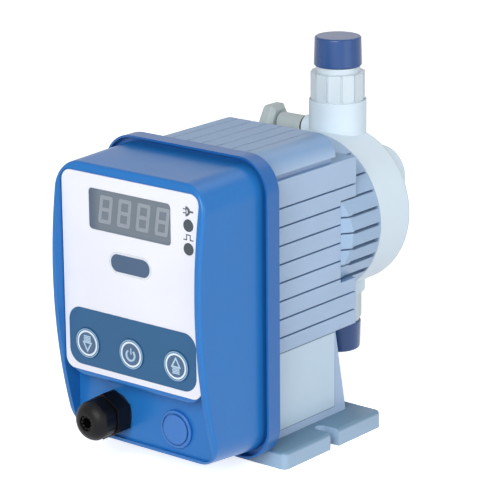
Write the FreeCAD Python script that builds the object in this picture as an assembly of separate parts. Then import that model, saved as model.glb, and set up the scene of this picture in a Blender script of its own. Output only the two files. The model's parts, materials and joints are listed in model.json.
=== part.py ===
import FreeCAD
import Part
import math
import os

# Chemical dosing pump with a solenoid drive and a diaphragm head.
# Units are millimetres and +Z is up.
# The origin is the middle of the foot's underside.
# The operating panel faces -Y, the pump head faces +Y and the outlet points up.

Vec = FreeCAD.Vector
X_DIR = Vec(1, 0, 0)
Y_DIR = Vec(0, 1, 0)
Z_DIR = Vec(0, 0, 1)

# Foot plate
FOOT_MARGIN = 16.5
FOOT_LENGTH = 85.0
FOOT_THICKNESS = 9.5
FOOT_CORNER = 3.5
FOOT_EDGE_ROUND = 2.0
FOOT_ROOF = 4.5
FOOT_WALL = 4.0
FOOT_RIB = 3.5
SLOT_WIDTH = 7.5
SLOT_INSET = 8.75
SLOT_WALL = 3.0

# Finned body
BODY_WIDTH = 82.0
BODY_TOP = 165.0
BODY_REAR_SETBACK = 2.2
BODY_CORNER = 11.5
BODY_WALL = 5.5
BODY_REAR_WALL = 7.8
SIDE_GROOVE_COUNT = 8
SIDE_GROOVE_DROP = 44.0
GROOVE_PITCH = 10.05
TOP_GROOVE_COUNT = 6
GROOVE_WIDTH = 0.9
GROOVE_DEPTH = 2.2
WIDE_GROOVE_DROP = 14.7
WIDE_GROOVE_WIDTH = 3.2
WIDE_GROOVE_DEPTH = 3.0
REAR_LEDGE_DROP = 52.2
REAR_LEDGE_DEPTH = 18.2
REAR_TOE_DEPTH = 8.8
TOP_SETBACK = 18.3
NOTCH_RISE = 17.6
NOTCH_DROP = 26.3
NOTCH_WALL = 5.6

# Rim between the body and the control cover
RIM_MARGIN = 14.0
RIM_BOTTOM = 5.5
RIM_ABOVE_BODY = 3.5
RIM_CORNER = 18.7
RIM_DEPTH = 10.2
RIM_LIP_WALL = 1.2
RIM_LIP_DEPTH = 4.0
RIM_EDGE_ROUND = 0.8
RIM_TO_FOOT = 0.5
RIM_WINDOW_INSET = 9.0
RIM_WINDOW_MARGIN = 20.0
GASKET_THICKNESS = 1.0

# Control cover
RIM_TO_COVER = 3.8
RIM_TO_COVER_BOTTOM = 3.7
RIM_TO_COVER_TOP = 3.9
COVER_CORNER = 15.0
COVER_WALL = 3.0
COVER_LENGTH = 58.0
COVER_SIDE_DRAFT = 0.8
COVER_TOP_FALL = 1.8
COVER_BOTTOM_RISE = 4.4
COVER_EDGE_ROUND = 1.8
ARCH_RADIUS = 290.0
ARCH_APEX_DROP = 61.6
ARCH_PROUD = 5.3
PANEL_SINK = 11.0
COVER_SIDE_WALL = 4.3
COVER_END_WALL = 5.4
POCKET_CORNER = 7.0
PLATEAU_MARGIN = 3.5
PLATEAU_CORNER = 12.0
PLATEAU_EDGE_ROUND = 2.2
RECESS_DEPTH = 10.2

# Operating panel
PANEL_EDGE_GAP = 0.6
PANEL_TOP_GAP = 0.8
PANEL_BOTTOM = 51.0
PANEL_CORNER = 6.0
PANEL_THICKNESS = 0.6
WINDOW_SIDE_MARGIN = 18.8
WINDOW_HEIGHT = 21.6
WINDOW_CORNER = 2.2
WINDOW_DROP = 18.2
WINDOW_THICKNESS = 1.4
WINDOW_GAP = 0.2
LAMP_INSET = 7.1
LAMP_RADIUS = 3.15
LAMP_RAISE = 1.8
LAMP_SPACING = 12.2
LAMP_PROUD = 0.3
FIELD_SIDE_MARGIN = 3.1
FIELD_HEIGHT = 31.0
FIELD_CORNER = 8.0
FIELD_BOTTOM = 54.4
FIELD_THICKNESS = 0.3

# Keys
KEY_INSET = 12.9
KEY_Z = 66.8
KEY_RADIUS = 8.2
KEY_PROUD = 0.6
KEY_CAP_THICKNESS = 2.0
KEY_TRAVEL = 0.4
KEY_GAP = 0.1
KEY_STEM_RADIUS = 3.4
KEY_STEM_GAP = 0.08
KEY_COLLAR_RADIUS = 4.4
KEY_COLLAR_THICKNESS = 0.9
KEY_SIDE_CLEARANCE = 0.3

# Electronics
BOARD_SIDE_GAP = 2.3
BOARD_TOP_GAP = 2.4
BOARD_BOTTOM = 54.0
BOARD_THICKNESS = 1.6
BOARD_DEPTH = 12.2
BOARD_POST_RADIUS = 3.4
BOARD_POST_MARGIN = 4.6
BOARD_SCREW_RADIUS = 1.4
BOARD_SCREW_DEPTH = 6.0
DISPLAY_SIDE_GAP = 2.35
DISPLAY_HEIGHT = 19.0
DISPLAY_DEPTH = 8.0
DISPLAY_PIN_THICKNESS = 1.0
DISPLAY_PIN_INSET = 2.0
SWITCH_SIZE = 6.2
SWITCH_HEIGHT = 3.5
SWITCH_BUTTON_RADIUS = 1.75
SWITCH_BUTTON_HEIGHT = 0.8

# Cable gland and blanking plug in the recess
ENTRY_INSET = 25.7
ENTRY_Z = 28.0
GLAND_HEX = 22.0
GLAND_HEX_LENGTH = 9.3
GLAND_THREAD_RADIUS = 9.3
GLAND_SEAL_THICKNESS = 1.5
GLAND_NECK_RADIUS = 8.6
GLAND_NECK_LENGTH = 0.7
GLAND_NUT_RADIUS = 10.9
GLAND_NUT_LENGTH = 5.0
GLAND_DOME_LENGTH = 7.2
GLAND_MOUTH_RADIUS = 4.2
GLAND_MOUTH_LIP = 0.9
GLAND_BODY_BORE = 5.4
GLAND_LOCKNUT_HEX = 22.0
GLAND_LOCKNUT_THICKNESS = 4.0
PLUG_RADIUS = 10.2
PLUG_FLANGE = 1.8
PLUG_PAD_RADIUS = 8.0
PLUG_PAD_HEIGHT = 0.5
PLUG_GROOVE_WIDTH = 0.8
PLUG_GROOVE_DEPTH = 0.8
PLUG_THREAD_RADIUS = 7.8
PLUG_NUT_HEX = 20.0
PLUG_NUT_THICKNESS = 3.5
ENTRY_HOLE_GAP = 0.15

# Pump axis and solenoid
AXIS_DROP = 56.0
YOKE_SIDE_GAP = 2.5
YOKE_WALL = 3.5
YOKE_FLOOR = 4.0
YOKE_FRONT_GAP = 6.0
YOKE_PLATE_THICKNESS = 4.0
BOBBIN_BORE = 11.6
BOBBIN_CORE_WALL = 1.4
BOBBIN_FLANGE = 1.6
BOBBIN_EDGE_GAP = 0.9
WINDING_EDGE_GAP = 1.2
WINDING_GAP = 0.05
PART_GAP = 0.2
STROKE = 1.25
STROKE_RESERVE = 0.15
SLIDING_GAP = 0.08
POLE_LENGTH = 17.0
POLE_SPIGOT_RADIUS = 8.9
POLE_WELL_RADIUS = 6.6
POLE_WELL_DEPTH = 8.0
ARMATURE_SINK = 1.6
ROD_RADIUS = 3.0
ROD_GRIP = 16.0
ROD_GAP = 0.06
ROD_SEAT_GAP = 0.02
BUSH_RADIUS = 5.0
BUSH_LENGTH = 14.0
STOP_THICKNESS = 2.4
STOP_RADIUS = 16.0
STOP_BOSS_RADIUS = 9.5
STOP_GAP = 0.3
SPRING_WIRE = 1.0
SPRING_RADIUS = 5.3
SPRING_TURNS = 5

# Ribbed drum
DRUM_RADIUS = 45.0
DRUM_POCKET_GAP = 0.3
DRUM_POCKET_DEPTH = 13.5
DRUM_PROUD = 17.2
DRUM_FLOOR = 4.2
DRUM_SLOT_DEPTH = 5.4
DRUM_FINE_DEPTH = 1.4
DRUM_SLOT_LEAD = 6.8
DRUM_SLOT_COUNT = 9
DRUM_SLOT_PITCH = 9.0
DRUM_SLOT_RAISE = 1.0
DRUM_SLOT_WIDTH = 1.9
DRUM_SLOT_WIDEN = 0.32
DRUM_SLOT_LEAST = 0.9
DRUM_SLOT_LAND = 1.0
DRUM_SHOULDER_SLOPE = 0.7
DRUM_SCREW_INSET = 0.6

# Diaphragm
DIAPHRAGM_INSET = 15.0
DIAPHRAGM_THICKNESS = 3.0
DIAPHRAGM_SEAT_GAP = 0.15
BACKING_THICKNESS = 4.0
BACKING_BORE = 10.5
HUB_RADIUS = 9.0
HUB_BOND_GAP = 0.05
HUB_BACK = 6.0
HUB_FRONT = 1.0

# Pump head
HEAD_STEP = 0.2
HEAD_THICKNESS = 30.5
HEAD_FRONT_ROUND = 1.2
HEAD_REAR_ROUND = 5.0
BLOCK_INSET = 24.0
BLOCK_CORNER = 16.0
BLOCK_HEIGHT = 10.0
BLOCK_EDGE_ROUND = 2.0
VALVE_SETBACK = 20.5
CLAMP_WIDTH = 6.0
CHAMBER_DEPTH = 3.8
PASSAGE_RADIUS = 3.5
PASSAGE_INSET = 7.0
BOLT_INSET = 10.8
BOLT_RADIUS = 2.5
BOLT_HEAD_RADIUS = 4.25
BOLT_HEAD_HEIGHT = 5.0
BOLT_SOCKET = 4.0
BOLT_GRIP = 14.0
BOLT_GAP = 0.2

# Valves
VALVE_BORE_RADIUS = 10.0
VALVE_FIT = 0.1
OUTLET_BOSS_RADIUS = 16.0
OUTLET_BOSS_RISE = 15.7
OUTLET_BORE_DEPTH = 25.5
COLLAR_RADIUS = 14.9
COLLAR_SINK = 0.9
COLLAR_GAP = 0.3
INLET_BOSS_RADIUS = 15.7
INLET_BOSS_DROP = 4.9
INLET_SHANK = 6.7
SEAT_THICKNESS = 4.0
SEAT_BORE = 3.5
BALL_RADIUS = 4.75
BALL_REST_GAP = 0.06
BALL_LIFT = 2.0
BALL_STOP_GAP = 0.1
BALL_CHAMBER_RADIUS = 6.0
CAGE_SLOT = 2.0
SEAL_WIRE = 1.2
SEAL_BELOW_RIM = 3.5
PORT_THREAD_RADIUS = 10.475
PORT_THREAD_LENGTH = 13.6
PORT_BORE_RADIUS = 5.0
PORT_CHAMFER = 0.8
RING_RADIUS = 12.4
RING_HEIGHT = 3.2
FACET_COUNT = 12
OUTLET_FACET_FLATS = 29.6
OUTLET_FACET_HEIGHT = 14.6
OUTLET_COLLAR_HEIGHT = 0.8
INLET_FACET_FLATS = 27.0
INLET_FACET_HEIGHT = 14.2
INLET_RING_HEIGHT = 2.4
CAP_RADIUS = 13.4
CAP_TAPER = 0.5
CAP_CHAMFER = 0.7
CAP_LENGTH = 16.4
CAP_TOP_WALL = 2.2
CAP_EDGE_ROUND = 1.2
CAP_GAP = 0.08
CAP_SEAT_GAP = 0.2

# Bleed valve
BLEED_DROP = 18.8
BLEED_BOSS_RADIUS = 6.6
BLEED_BOSS_END = 21.0
BLEED_WELL_RADIUS = 4.1
BLEED_WELL_END = 12.4
BLEED_PORT_RADIUS = 1.4
BLEED_SEAL_WIRE = 0.9
BLEED_SEAL_RADIUS = 5.1
BLEED_ARM_CLEARANCE = 0.7
BLEED_ARM_RADIUS = 5.6
BLEED_ARM_LENGTH = 12.0
BLEED_SHANK_LENGTH = 6.0
NEEDLE_RADIUS = 2.0
NEEDLE_GAP = 0.06
NEEDLE_SEAT_GAP = 0.1
KNOB_FLATS = 18.4
KNOB_LENGTH = 14.0
KNOB_END_RADIUS = 7.2
KNOB_GAP = 1.0
KNOB_WALL = 3.0

# Screws
RIM_SCREW_RADIUS = 1.6
RIM_SCREW_HEAD = 3.0
RIM_SCREW_LENGTH = 16.0
RIM_SCREW_LOW_Z = 22.0
RIM_SCREW_DROP = 22.0
COVER_SCREW_RADIUS = 1.9
COVER_SCREW_HEAD = 3.4
COVER_SCREW_LENGTH = 18.0
COVER_SCREW_INSET = 4.8
COVER_SCREW_LOW_Z = 28.0
COVER_SCREW_DROP = 18.6
COVER_BOSS_RADIUS = 4.2
SCREW_HEAD_HEIGHT = 2.4
SCREW_GAP = 0.1
FOOT_SCREW_RADIUS = 1.6
FOOT_SCREW_HEAD = 3.2
FOOT_SCREW_FRONT_INSET = 12.5
FOOT_SCREW_REAR_INSET = 16.3
FOOT_SCREW_GRIP = 8.0
DRUM_SCREW_RADIUS = 2.0
DRUM_SCREW_HEAD = 3.6

# Places worked out from the sizes above
FOOT_WIDTH = BODY_WIDTH + 2 * FOOT_MARGIN
SLOT_SPACING = FOOT_WIDTH - 2 * SLOT_INSET
BODY_REAR = FOOT_LENGTH / 2 - BODY_REAR_SETBACK
AXIS_Z = BODY_TOP - AXIS_DROP
SIDE_GROOVE_FIRST = AXIS_Z - SIDE_GROOVE_DROP
WIDE_GROOVE_BOTTOM = BODY_TOP - WIDE_GROOVE_DROP
REAR_LEDGE_HEIGHT = AXIS_Z - REAR_LEDGE_DROP
REAR_LEDGE_Y = BODY_REAR - REAR_LEDGE_DEPTH
REAR_TOE_Y = BODY_REAR - REAR_TOE_DEPTH
FOOT_SCREW_FRONT_Y = -FOOT_LENGTH / 2 + FOOT_SCREW_FRONT_INSET
FOOT_SCREW_REAR_Y = BODY_REAR - FOOT_SCREW_REAR_INSET
RIM_BACK = -(FOOT_LENGTH / 2 + RIM_TO_FOOT)
RIM_FRONT = RIM_BACK - RIM_DEPTH
RIM_TOP = BODY_TOP + RIM_ABOVE_BODY
RIM_WIDTH = BODY_WIDTH + 2 * RIM_MARGIN
RIM_WINDOW_WIDTH = BODY_WIDTH - 2 * RIM_WINDOW_INSET
RIM_SCREW_HIGH_Z = BODY_TOP - RIM_SCREW_DROP
BODY_FRONT = RIM_BACK + GASKET_THICKNESS
COVER_WIDTH = RIM_WIDTH - 2 * RIM_TO_COVER
COVER_BACK = RIM_FRONT + RIM_LIP_DEPTH
COVER_FRONT = COVER_BACK - COVER_LENGTH
COVER_BOTTOM = RIM_BOTTOM + RIM_TO_COVER_BOTTOM
COVER_TOP = RIM_TOP - RIM_TO_COVER_TOP
COVER_SCREW_X = COVER_WIDTH / 2 - COVER_SCREW_INSET
COVER_SCREW_HIGH_Z = COVER_TOP - COVER_SCREW_DROP
ARCH_APEX_HEIGHT = COVER_TOP - ARCH_APEX_DROP
POCKET_WIDTH = COVER_WIDTH - 2 * COVER_SIDE_WALL
POCKET_BOTTOM = COVER_BOTTOM + COVER_END_WALL
POCKET_TOP = COVER_TOP - COVER_END_WALL
PANEL_Y = COVER_FRONT + PANEL_SINK
PANEL_WIDTH = POCKET_WIDTH - 2 * PANEL_EDGE_GAP
PANEL_TOP = POCKET_TOP - PANEL_TOP_GAP
PLATEAU_BOTTOM = PANEL_BOTTOM - PLATEAU_MARGIN
PLATEAU_Y = PANEL_Y + PANEL_THICKNESS
PANEL_WALL_BACK = PLATEAU_Y + COVER_WALL
RECESS_Y = PANEL_Y + RECESS_DEPTH
RECESS_WALL_BACK = RECESS_Y + COVER_WALL
ENTRY_X = POCKET_WIDTH / 2 - ENTRY_INSET
WINDOW_WIDTH = PANEL_WIDTH - 2 * WINDOW_SIDE_MARGIN
WINDOW_CENTRE_Z = PANEL_TOP - WINDOW_DROP
DISPLAY_WIDTH = WINDOW_WIDTH - 2 * DISPLAY_SIDE_GAP
LAMP_X = PANEL_WIDTH / 2 - LAMP_INSET
LAMP_UPPER_Z = WINDOW_CENTRE_Z + LAMP_RAISE
LAMP_ZS = (LAMP_UPPER_Z, LAMP_UPPER_Z - LAMP_SPACING)
FIELD_WIDTH = PANEL_WIDTH - 2 * FIELD_SIDE_MARGIN
FIELD_Y = PANEL_Y - FIELD_THICKNESS
KEY_PITCH = FIELD_WIDTH / 2 - KEY_INSET
KEY_XS = (-KEY_PITCH, 0.0, KEY_PITCH)
KEY_FACE_Y = FIELD_Y - KEY_PROUD
KEY_CAP_BACK = KEY_FACE_Y + KEY_CAP_THICKNESS
KEY_WELL_Y = KEY_CAP_BACK + KEY_TRAVEL + KEY_SIDE_CLEARANCE
BOARD_WIDTH = PANEL_WIDTH - 2 * BOARD_SIDE_GAP
BOARD_HEIGHT = PANEL_TOP - BOARD_TOP_GAP - BOARD_BOTTOM
BOARD_FRONT = PANEL_Y + BOARD_DEPTH
DRUM_FRONT = BODY_REAR - DRUM_POCKET_DEPTH
DRUM_REAR = BODY_REAR + DRUM_PROUD
DRUM_CORE_RADIUS = DRUM_RADIUS - DRUM_SLOT_DEPTH
DRUM_FINE_CORE_RADIUS = min(DRUM_RADIUS, BODY_WIDTH / 2) - DRUM_FINE_DEPTH
DRUM_SLOT_START = BODY_REAR - DRUM_SLOT_LEAD
DIAPHRAGM_RADIUS = DRUM_RADIUS - DIAPHRAGM_INSET
CHAMBER_RADIUS = DIAPHRAGM_RADIUS - CLAMP_WIDTH
DRUM_SCREW_OFFSET = (CHAMBER_RADIUS - DRUM_SCREW_HEAD - DRUM_SCREW_INSET) / math.sqrt(2)
BOLT_OFFSET = (DRUM_RADIUS - BOLT_INSET) / math.sqrt(2)
YOKE_RADIUS = BODY_WIDTH / 2 - BODY_WALL - YOKE_SIDE_GAP
YOKE_BACK = DRUM_FRONT - BODY_REAR_WALL
YOKE_FRONT = BODY_FRONT + YOKE_FRONT_GAP
YOKE_FLOOR_Y = YOKE_BACK - YOKE_FLOOR
YOKE_PLATE_BACK = YOKE_FRONT + YOKE_PLATE_THICKNESS
BOBBIN_FLANGE_RADIUS = YOKE_RADIUS - YOKE_WALL - BOBBIN_EDGE_GAP
WINDING_RADIUS = BOBBIN_FLANGE_RADIUS - WINDING_EDGE_GAP
POLE_FRONT = YOKE_FLOOR_Y - POLE_LENGTH
POLE_RADIUS = BOBBIN_BORE - SLIDING_GAP
ARMATURE_BACK = POLE_FRONT - STROKE - STROKE_RESERVE
ARMATURE_FRONT = YOKE_FRONT + ARMATURE_SINK
WELL_FLOOR = POLE_FRONT + POLE_WELL_DEPTH
BACKING_Y = DRUM_REAR - DIAPHRAGM_THICKNESS / 2 - BACKING_THICKNESS
DIAPHRAGM_Y = DRUM_REAR - DIAPHRAGM_THICKNESS / 2
DIAPHRAGM_BACK = DIAPHRAGM_Y + DIAPHRAGM_THICKNESS
SEAT_POCKET_RADIUS = DIAPHRAGM_RADIUS + DIAPHRAGM_SEAT_GAP
HUB_START = DIAPHRAGM_Y - HUB_BACK
HUB_END = DIAPHRAGM_BACK + HUB_FRONT
HEAD_RADIUS = DRUM_RADIUS - HEAD_STEP
HEAD_BACK = DRUM_REAR + HEAD_THICKNESS
BLOCK_SIZE = 2 * DRUM_RADIUS - BLOCK_INSET
BLOCK_BACK = HEAD_BACK + BLOCK_HEIGHT
VALVE_Y = DRUM_REAR + VALVE_SETBACK
PASSAGE_OFFSET = CHAMBER_RADIUS - PASSAGE_INSET
CHAMBER_BACK = DIAPHRAGM_BACK + CHAMBER_DEPTH
BALL_SIT = math.sqrt(BALL_RADIUS ** 2 - SEAT_BORE ** 2)
OUTLET_BOSS_TOP = AXIS_Z + HEAD_RADIUS + OUTLET_BOSS_RISE
OUTLET_BORE_BOTTOM = OUTLET_BOSS_TOP - OUTLET_BORE_DEPTH
OUTLET_SEAT_TOP = OUTLET_BORE_BOTTOM + SEAT_THICKNESS
OUTLET_BALL_Z = OUTLET_SEAT_TOP + BALL_SIT + BALL_REST_GAP
OUTLET_STOP_Z = OUTLET_BALL_Z + BALL_LIFT + BALL_SIT + BALL_STOP_GAP
OUTLET_CAGE_TOP = OUTLET_STOP_Z + CAGE_SLOT
OUTLET_RING_Z = OUTLET_BOSS_TOP + OUTLET_COLLAR_HEIGHT + OUTLET_FACET_HEIGHT
OUTLET_STUB_Z = OUTLET_RING_Z + RING_HEIGHT
INLET_BOSS_BOTTOM = AXIS_Z - HEAD_RADIUS - INLET_BOSS_DROP
INLET_SEAT_Z = INLET_BOSS_BOTTOM + INLET_SHANK
INLET_SEAT_TOP = INLET_SEAT_Z + SEAT_THICKNESS
INLET_BALL_Z = INLET_SEAT_TOP + BALL_SIT + BALL_REST_GAP
INLET_STOP_Z = INLET_BALL_Z + BALL_LIFT + BALL_SIT + BALL_STOP_GAP
INLET_RING_Z = INLET_BOSS_BOTTOM - OUTLET_COLLAR_HEIGHT - INLET_FACET_HEIGHT
INLET_STUB_Z = INLET_RING_Z - INLET_RING_HEIGHT
BLEED_Z = OUTLET_BOSS_TOP - BLEED_DROP
BLEED_ARM_START = BLEED_BOSS_END + 2 * BLEED_SEAL_WIRE
BLEED_ARM_END = BLEED_ARM_START + BLEED_ARM_LENGTH
BLEED_SHANK_END = BLEED_ARM_START - BLEED_SHANK_LENGTH
KNOB_START = BLEED_ARM_END + KNOB_GAP
KNOB_END = KNOB_START + KNOB_LENGTH


def box(x0, x1, y0, y1, z0, z1):
    """Block between two corners."""
    return Part.makeBox(x1 - x0, y1 - y0, z1 - z0, Vec(x0, y0, z0))


def disc_y(radius, y0, y1, x=0.0, z=AXIS_Z):
    """Round bar along Y."""
    return Part.makeCylinder(radius, y1 - y0, Vec(x, y0, z), Y_DIR)


def disc_z(radius, z0, z1, x=0.0, y=VALVE_Y):
    """Round bar along Z."""
    return Part.makeCylinder(radius, z1 - z0, Vec(x, y, z0), Z_DIR)


def disc_x(radius, x0, x1, y=VALVE_Y, z=BLEED_Z):
    """Round bar along X."""
    return Part.makeCylinder(radius, x1 - x0, Vec(x0, y, z), X_DIR)


def ring_y(outer, inner, y0, y1, x=0.0, z=AXIS_Z):
    """Ring along Y."""
    return disc_y(outer, y0, y1, x, z).cut(disc_y(inner, y0 - 1, y1 + 1, x, z))


def polygon_bar(flats, sides, start, end, base, direction, turn=0.0):
    """Bar with flat sides along a direction, its size given across the flats."""
    radius = flats / 2 / math.cos(math.pi / sides)
    points = []
    for i in range(sides + 1):
        angle = 2 * math.pi * (i + 0.5) / sides + turn
        points.append(Vec(radius * math.cos(angle), radius * math.sin(angle), 0))
    face = Part.Face(Part.makePolygon(points))
    bar = face.extrude(Vec(0, 0, end - start))
    bar.Placement = FreeCAD.Placement(base + direction * start, FreeCAD.Rotation(Z_DIR, direction))
    return bar


def rounded_outline(half_x, z0, z1, radius, y):
    """Closed wire in a plane of constant y, a rectangle with round corners."""
    r = min(radius, half_x - 0.1, (z1 - z0) / 2 - 0.1)
    centres = ((half_x - r, z0 + r), (half_x - r, z1 - r), (-half_x + r, z1 - r), (-half_x + r, z0 + r))
    edges = []
    for i in range(4):
        cx, cz = centres[i]
        angles = [math.radians(90 * (i - 1) + step) for step in (0, 45, 90)]
        points = [Vec(cx + r * math.cos(a), y, cz + r * math.sin(a)) for a in angles]
        edges.append(Part.Arc(*points).toShape())
        nx, nz = centres[(i + 1) % 4]
        turn = math.radians(90 * i)
        start = points[2]
        end = Vec(nx + r * math.cos(turn), y, nz + r * math.sin(turn))
        edges.append(Part.LineSegment(start, end).toShape())
    return Part.Wire(edges)


def rounded_plate(half_x, z0, z1, radius, y0, y1):
    """Plate across Y with round corners."""
    return Part.Face(rounded_outline(half_x, z0, z1, radius, y0)).extrude(Vec(0, y1 - y0, 0))


def rounded_block_z(half_x, half_y, radius, z0, z1):
    """Plate that lies flat, with round corners."""
    plate = rounded_plate(half_x, -half_y, half_y, radius, z0, z1)
    plate.rotate(Vec(0, 0, 0), X_DIR, 90)
    return plate


def join(shapes):
    """One solid from touching or overlapping solids."""
    whole = shapes[0].fuse(shapes[1:]) if len(shapes) > 1 else shapes[0]
    return whole.removeSplitter()


def round_edges(shape, radius, chosen):
    """Rounds the edges that a test picks."""
    edges = [edge for edge in shape.Edges if chosen(edge)]
    return shape.makeFillet(radius, edges)


def on_plane(edge, axis, value):
    """True for an edge that lies in the plane axis = value."""
    box_of_edge = edge.BoundBox
    low = (box_of_edge.XMin, box_of_edge.YMin, box_of_edge.ZMin)[axis]
    high = (box_of_edge.XMax, box_of_edge.YMax, box_of_edge.ZMax)[axis]
    return abs(low - value) < 1e-4 and abs(high - value) < 1e-4


def pan_screw_y(radius, head, length, head_y, towards, x, z):
    """Screw along Y: the head stands on head_y and the shank goes the other way."""
    head_end = head_y - towards * SCREW_HEAD_HEIGHT
    cap = disc_y(head, min(head_y, head_end), max(head_y, head_end), x, z)
    cap = round_edges(cap, SCREW_HEAD_HEIGHT * 0.3, lambda e: on_plane(e, 1, head_end))
    tip = head_y + towards * length
    shank = disc_y(radius, min(head_y, tip), max(head_y, tip), x, z)
    cross_half = head * 0.55
    depth = SCREW_HEAD_HEIGHT * 0.45
    low = min(head_end, head_end + towards * depth)
    high = max(head_end, head_end + towards * depth)
    bar_half = head * 0.11
    cross = box(x - cross_half, x + cross_half, low, high, z - bar_half, z + bar_half)
    cross = cross.fuse(box(x - bar_half, x + bar_half, low, high, z - cross_half, z + cross_half))
    return join([cap, shank]).cut(cross)


def foot_slot(side, width, reach_down, reach_up):
    """Open slot at the middle of one side of the foot."""
    centre_x = SLOT_SPACING / 2
    round_end = disc_z(width / 2, reach_down, reach_up, side * centre_x, 0.0)
    outer_x = FOOT_WIDTH / 2 + 1.0
    straight = box(min(side * centre_x, side * outer_x), max(side * centre_x, side * outer_x),
                   -width / 2, width / 2, reach_down, reach_up)
    return round_end.fuse(straight)


def foot_screw_places():
    wall_middle = BODY_WIDTH / 2 - BODY_WALL / 2
    return [(sx * wall_middle, y) for sx in (-1, 1) for y in (FOOT_SCREW_FRONT_Y, FOOT_SCREW_REAR_Y)]


def mounting_foot():
    """Foot plate, hollow underneath, with walls round its slots and screw posts."""
    half_x = FOOT_WIDTH / 2
    half_y = FOOT_LENGTH / 2
    plate = rounded_block_z(half_x, half_y, FOOT_CORNER, 0.0, FOOT_THICKNESS)
    edge = min(FOOT_EDGE_ROUND, FOOT_THICKNESS * 0.4)
    plate = round_edges(plate, edge, lambda e: on_plane(e, 2, FOOT_THICKNESS))
    hollow_top = FOOT_THICKNESS - FOOT_ROOF
    hollow = rounded_block_z(half_x - FOOT_WALL, half_y - FOOT_WALL, FOOT_CORNER, -1.0, hollow_top)
    hollow = hollow.cut(box(-half_x, half_x, -FOOT_RIB / 2, FOOT_RIB / 2, -2.0, hollow_top))
    hollow = hollow.cut(box(-FOOT_RIB / 2, FOOT_RIB / 2, -half_y, half_y, -2.0, hollow_top))
    for side in (-1, 1):
        hollow = hollow.cut(foot_slot(side, SLOT_WIDTH + 2 * SLOT_WALL, -2.0, hollow_top))
    for x, y in foot_screw_places():
        hollow = hollow.cut(disc_z(FOOT_SCREW_HEAD + FOOT_WALL, -2.0, hollow_top, x, y))
    plate = plate.cut(hollow)
    for side in (-1, 1):
        plate = plate.cut(foot_slot(side, SLOT_WIDTH, -1.0, FOOT_THICKNESS + 1.0))
    for x, y in foot_screw_places():
        plate = plate.cut(disc_z(FOOT_SCREW_HEAD + SCREW_GAP, -1.0, SCREW_HEAD_HEIGHT + 1.0, x, y))
        plate = plate.cut(disc_z(FOOT_SCREW_RADIUS + SCREW_GAP, 0.0, FOOT_THICKNESS + 1.0, x, y))
    return plate


def foot_screws():
    """Four screws from below into the body."""
    screws = []
    for x, y in foot_screw_places():
        seat_z = SCREW_HEAD_HEIGHT + 1.0
        head = disc_z(FOOT_SCREW_HEAD, 1.0, seat_z, x, y)
        shank = disc_z(FOOT_SCREW_RADIUS, seat_z, FOOT_THICKNESS + FOOT_SCREW_GRIP, x, y)
        slot = box(x - FOOT_SCREW_HEAD, x + FOOT_SCREW_HEAD, y - 0.5, y + 0.5, 0.0, 2.0)
        screws.append(join([head, shank]).cut(slot))
    return Part.makeCompound(screws)


def side_groove_heights():
    return [SIDE_GROOVE_FIRST + GROOVE_PITCH * i for i in range(SIDE_GROOVE_COUNT)]


def rim_screw_places():
    wall_middle = BODY_WIDTH / 2 - BODY_WALL / 2
    return [(sx * wall_middle, z) for sx in (-1, 1) for z in (RIM_SCREW_LOW_Z, RIM_SCREW_HIGH_Z)]


def drum_screw_places():
    offsets = (-DRUM_SCREW_OFFSET, DRUM_SCREW_OFFSET)
    return [(x, AXIS_Z + z) for x in offsets for z in offsets]


def body_outline(half_x, bottom, top, radius, y):
    """Outline with square lower corners and round upper ones."""
    r = radius
    diagonal = r * (1 - math.cos(math.pi / 4))
    left_middle = Vec(-half_x + diagonal, y, top - diagonal)
    right_middle = Vec(half_x - diagonal, y, top - diagonal)
    left_arc = Part.Arc(Vec(-half_x, y, top - r), left_middle, Vec(-half_x + r, y, top))
    right_arc = Part.Arc(Vec(half_x - r, y, top), right_middle, Vec(half_x, y, top - r))
    lines = [
        Part.LineSegment(Vec(-half_x, y, bottom), Vec(-half_x, y, top - r)).toShape(),
        left_arc.toShape(),
        Part.LineSegment(Vec(-half_x + r, y, top), Vec(half_x - r, y, top)).toShape(),
        right_arc.toShape(),
        Part.LineSegment(Vec(half_x, y, top - r), Vec(half_x, y, bottom)).toShape(),
        Part.LineSegment(Vec(half_x, y, bottom), Vec(-half_x, y, bottom)).toShape(),
    ]
    return Part.Wire(lines)


def rear_slope_cut():
    """Wedge taken off behind the lower part of the body."""
    half_x = BODY_WIDTH / 2 + 1.0
    low = FOOT_THICKNESS
    points = [
        Vec(-half_x, REAR_LEDGE_Y, REAR_LEDGE_HEIGHT),
        Vec(-half_x, REAR_TOE_Y, low),
        Vec(-half_x, REAR_TOE_Y, low - 1.0),
        Vec(-half_x, BODY_REAR + 1.0, low - 1.0),
        Vec(-half_x, BODY_REAR + 1.0, REAR_LEDGE_HEIGHT),
    ]
    face = Part.Face(Part.makePolygon(points + points[:1]))
    return face.extrude(Vec(2 * half_x, 0, 0))


def body_grooves():
    """Narrow grooves in the top and the sides, and the wide one under each upper corner."""
    half_x = BODY_WIDTH / 2
    half = GROOVE_WIDTH / 2
    start = BODY_FRONT - 1.0
    end = BODY_REAR + 1.0
    tools = []
    for i in range(TOP_GROOVE_COUNT):
        x = GROOVE_PITCH * (i - (TOP_GROOVE_COUNT - 1) / 2)
        tools.append(box(x - half, x + half, start, end, BODY_TOP - GROOVE_DEPTH, BODY_TOP + 1.0))
    for side in (-1, 1):
        outer = side * (half_x + 1.0)
        inner = side * (half_x - GROOVE_DEPTH)
        for z in side_groove_heights():
            tools.append(box(min(outer, inner), max(outer, inner), start, end, z - half, z + half))
        deep = side * (half_x - WIDE_GROOVE_DEPTH)
        tools.append(box(min(outer, deep), max(outer, deep), start, end,
                         WIDE_GROOVE_BOTTOM, WIDE_GROOVE_BOTTOM + WIDE_GROOVE_WIDTH))
    return Part.makeCompound(tools)


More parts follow.
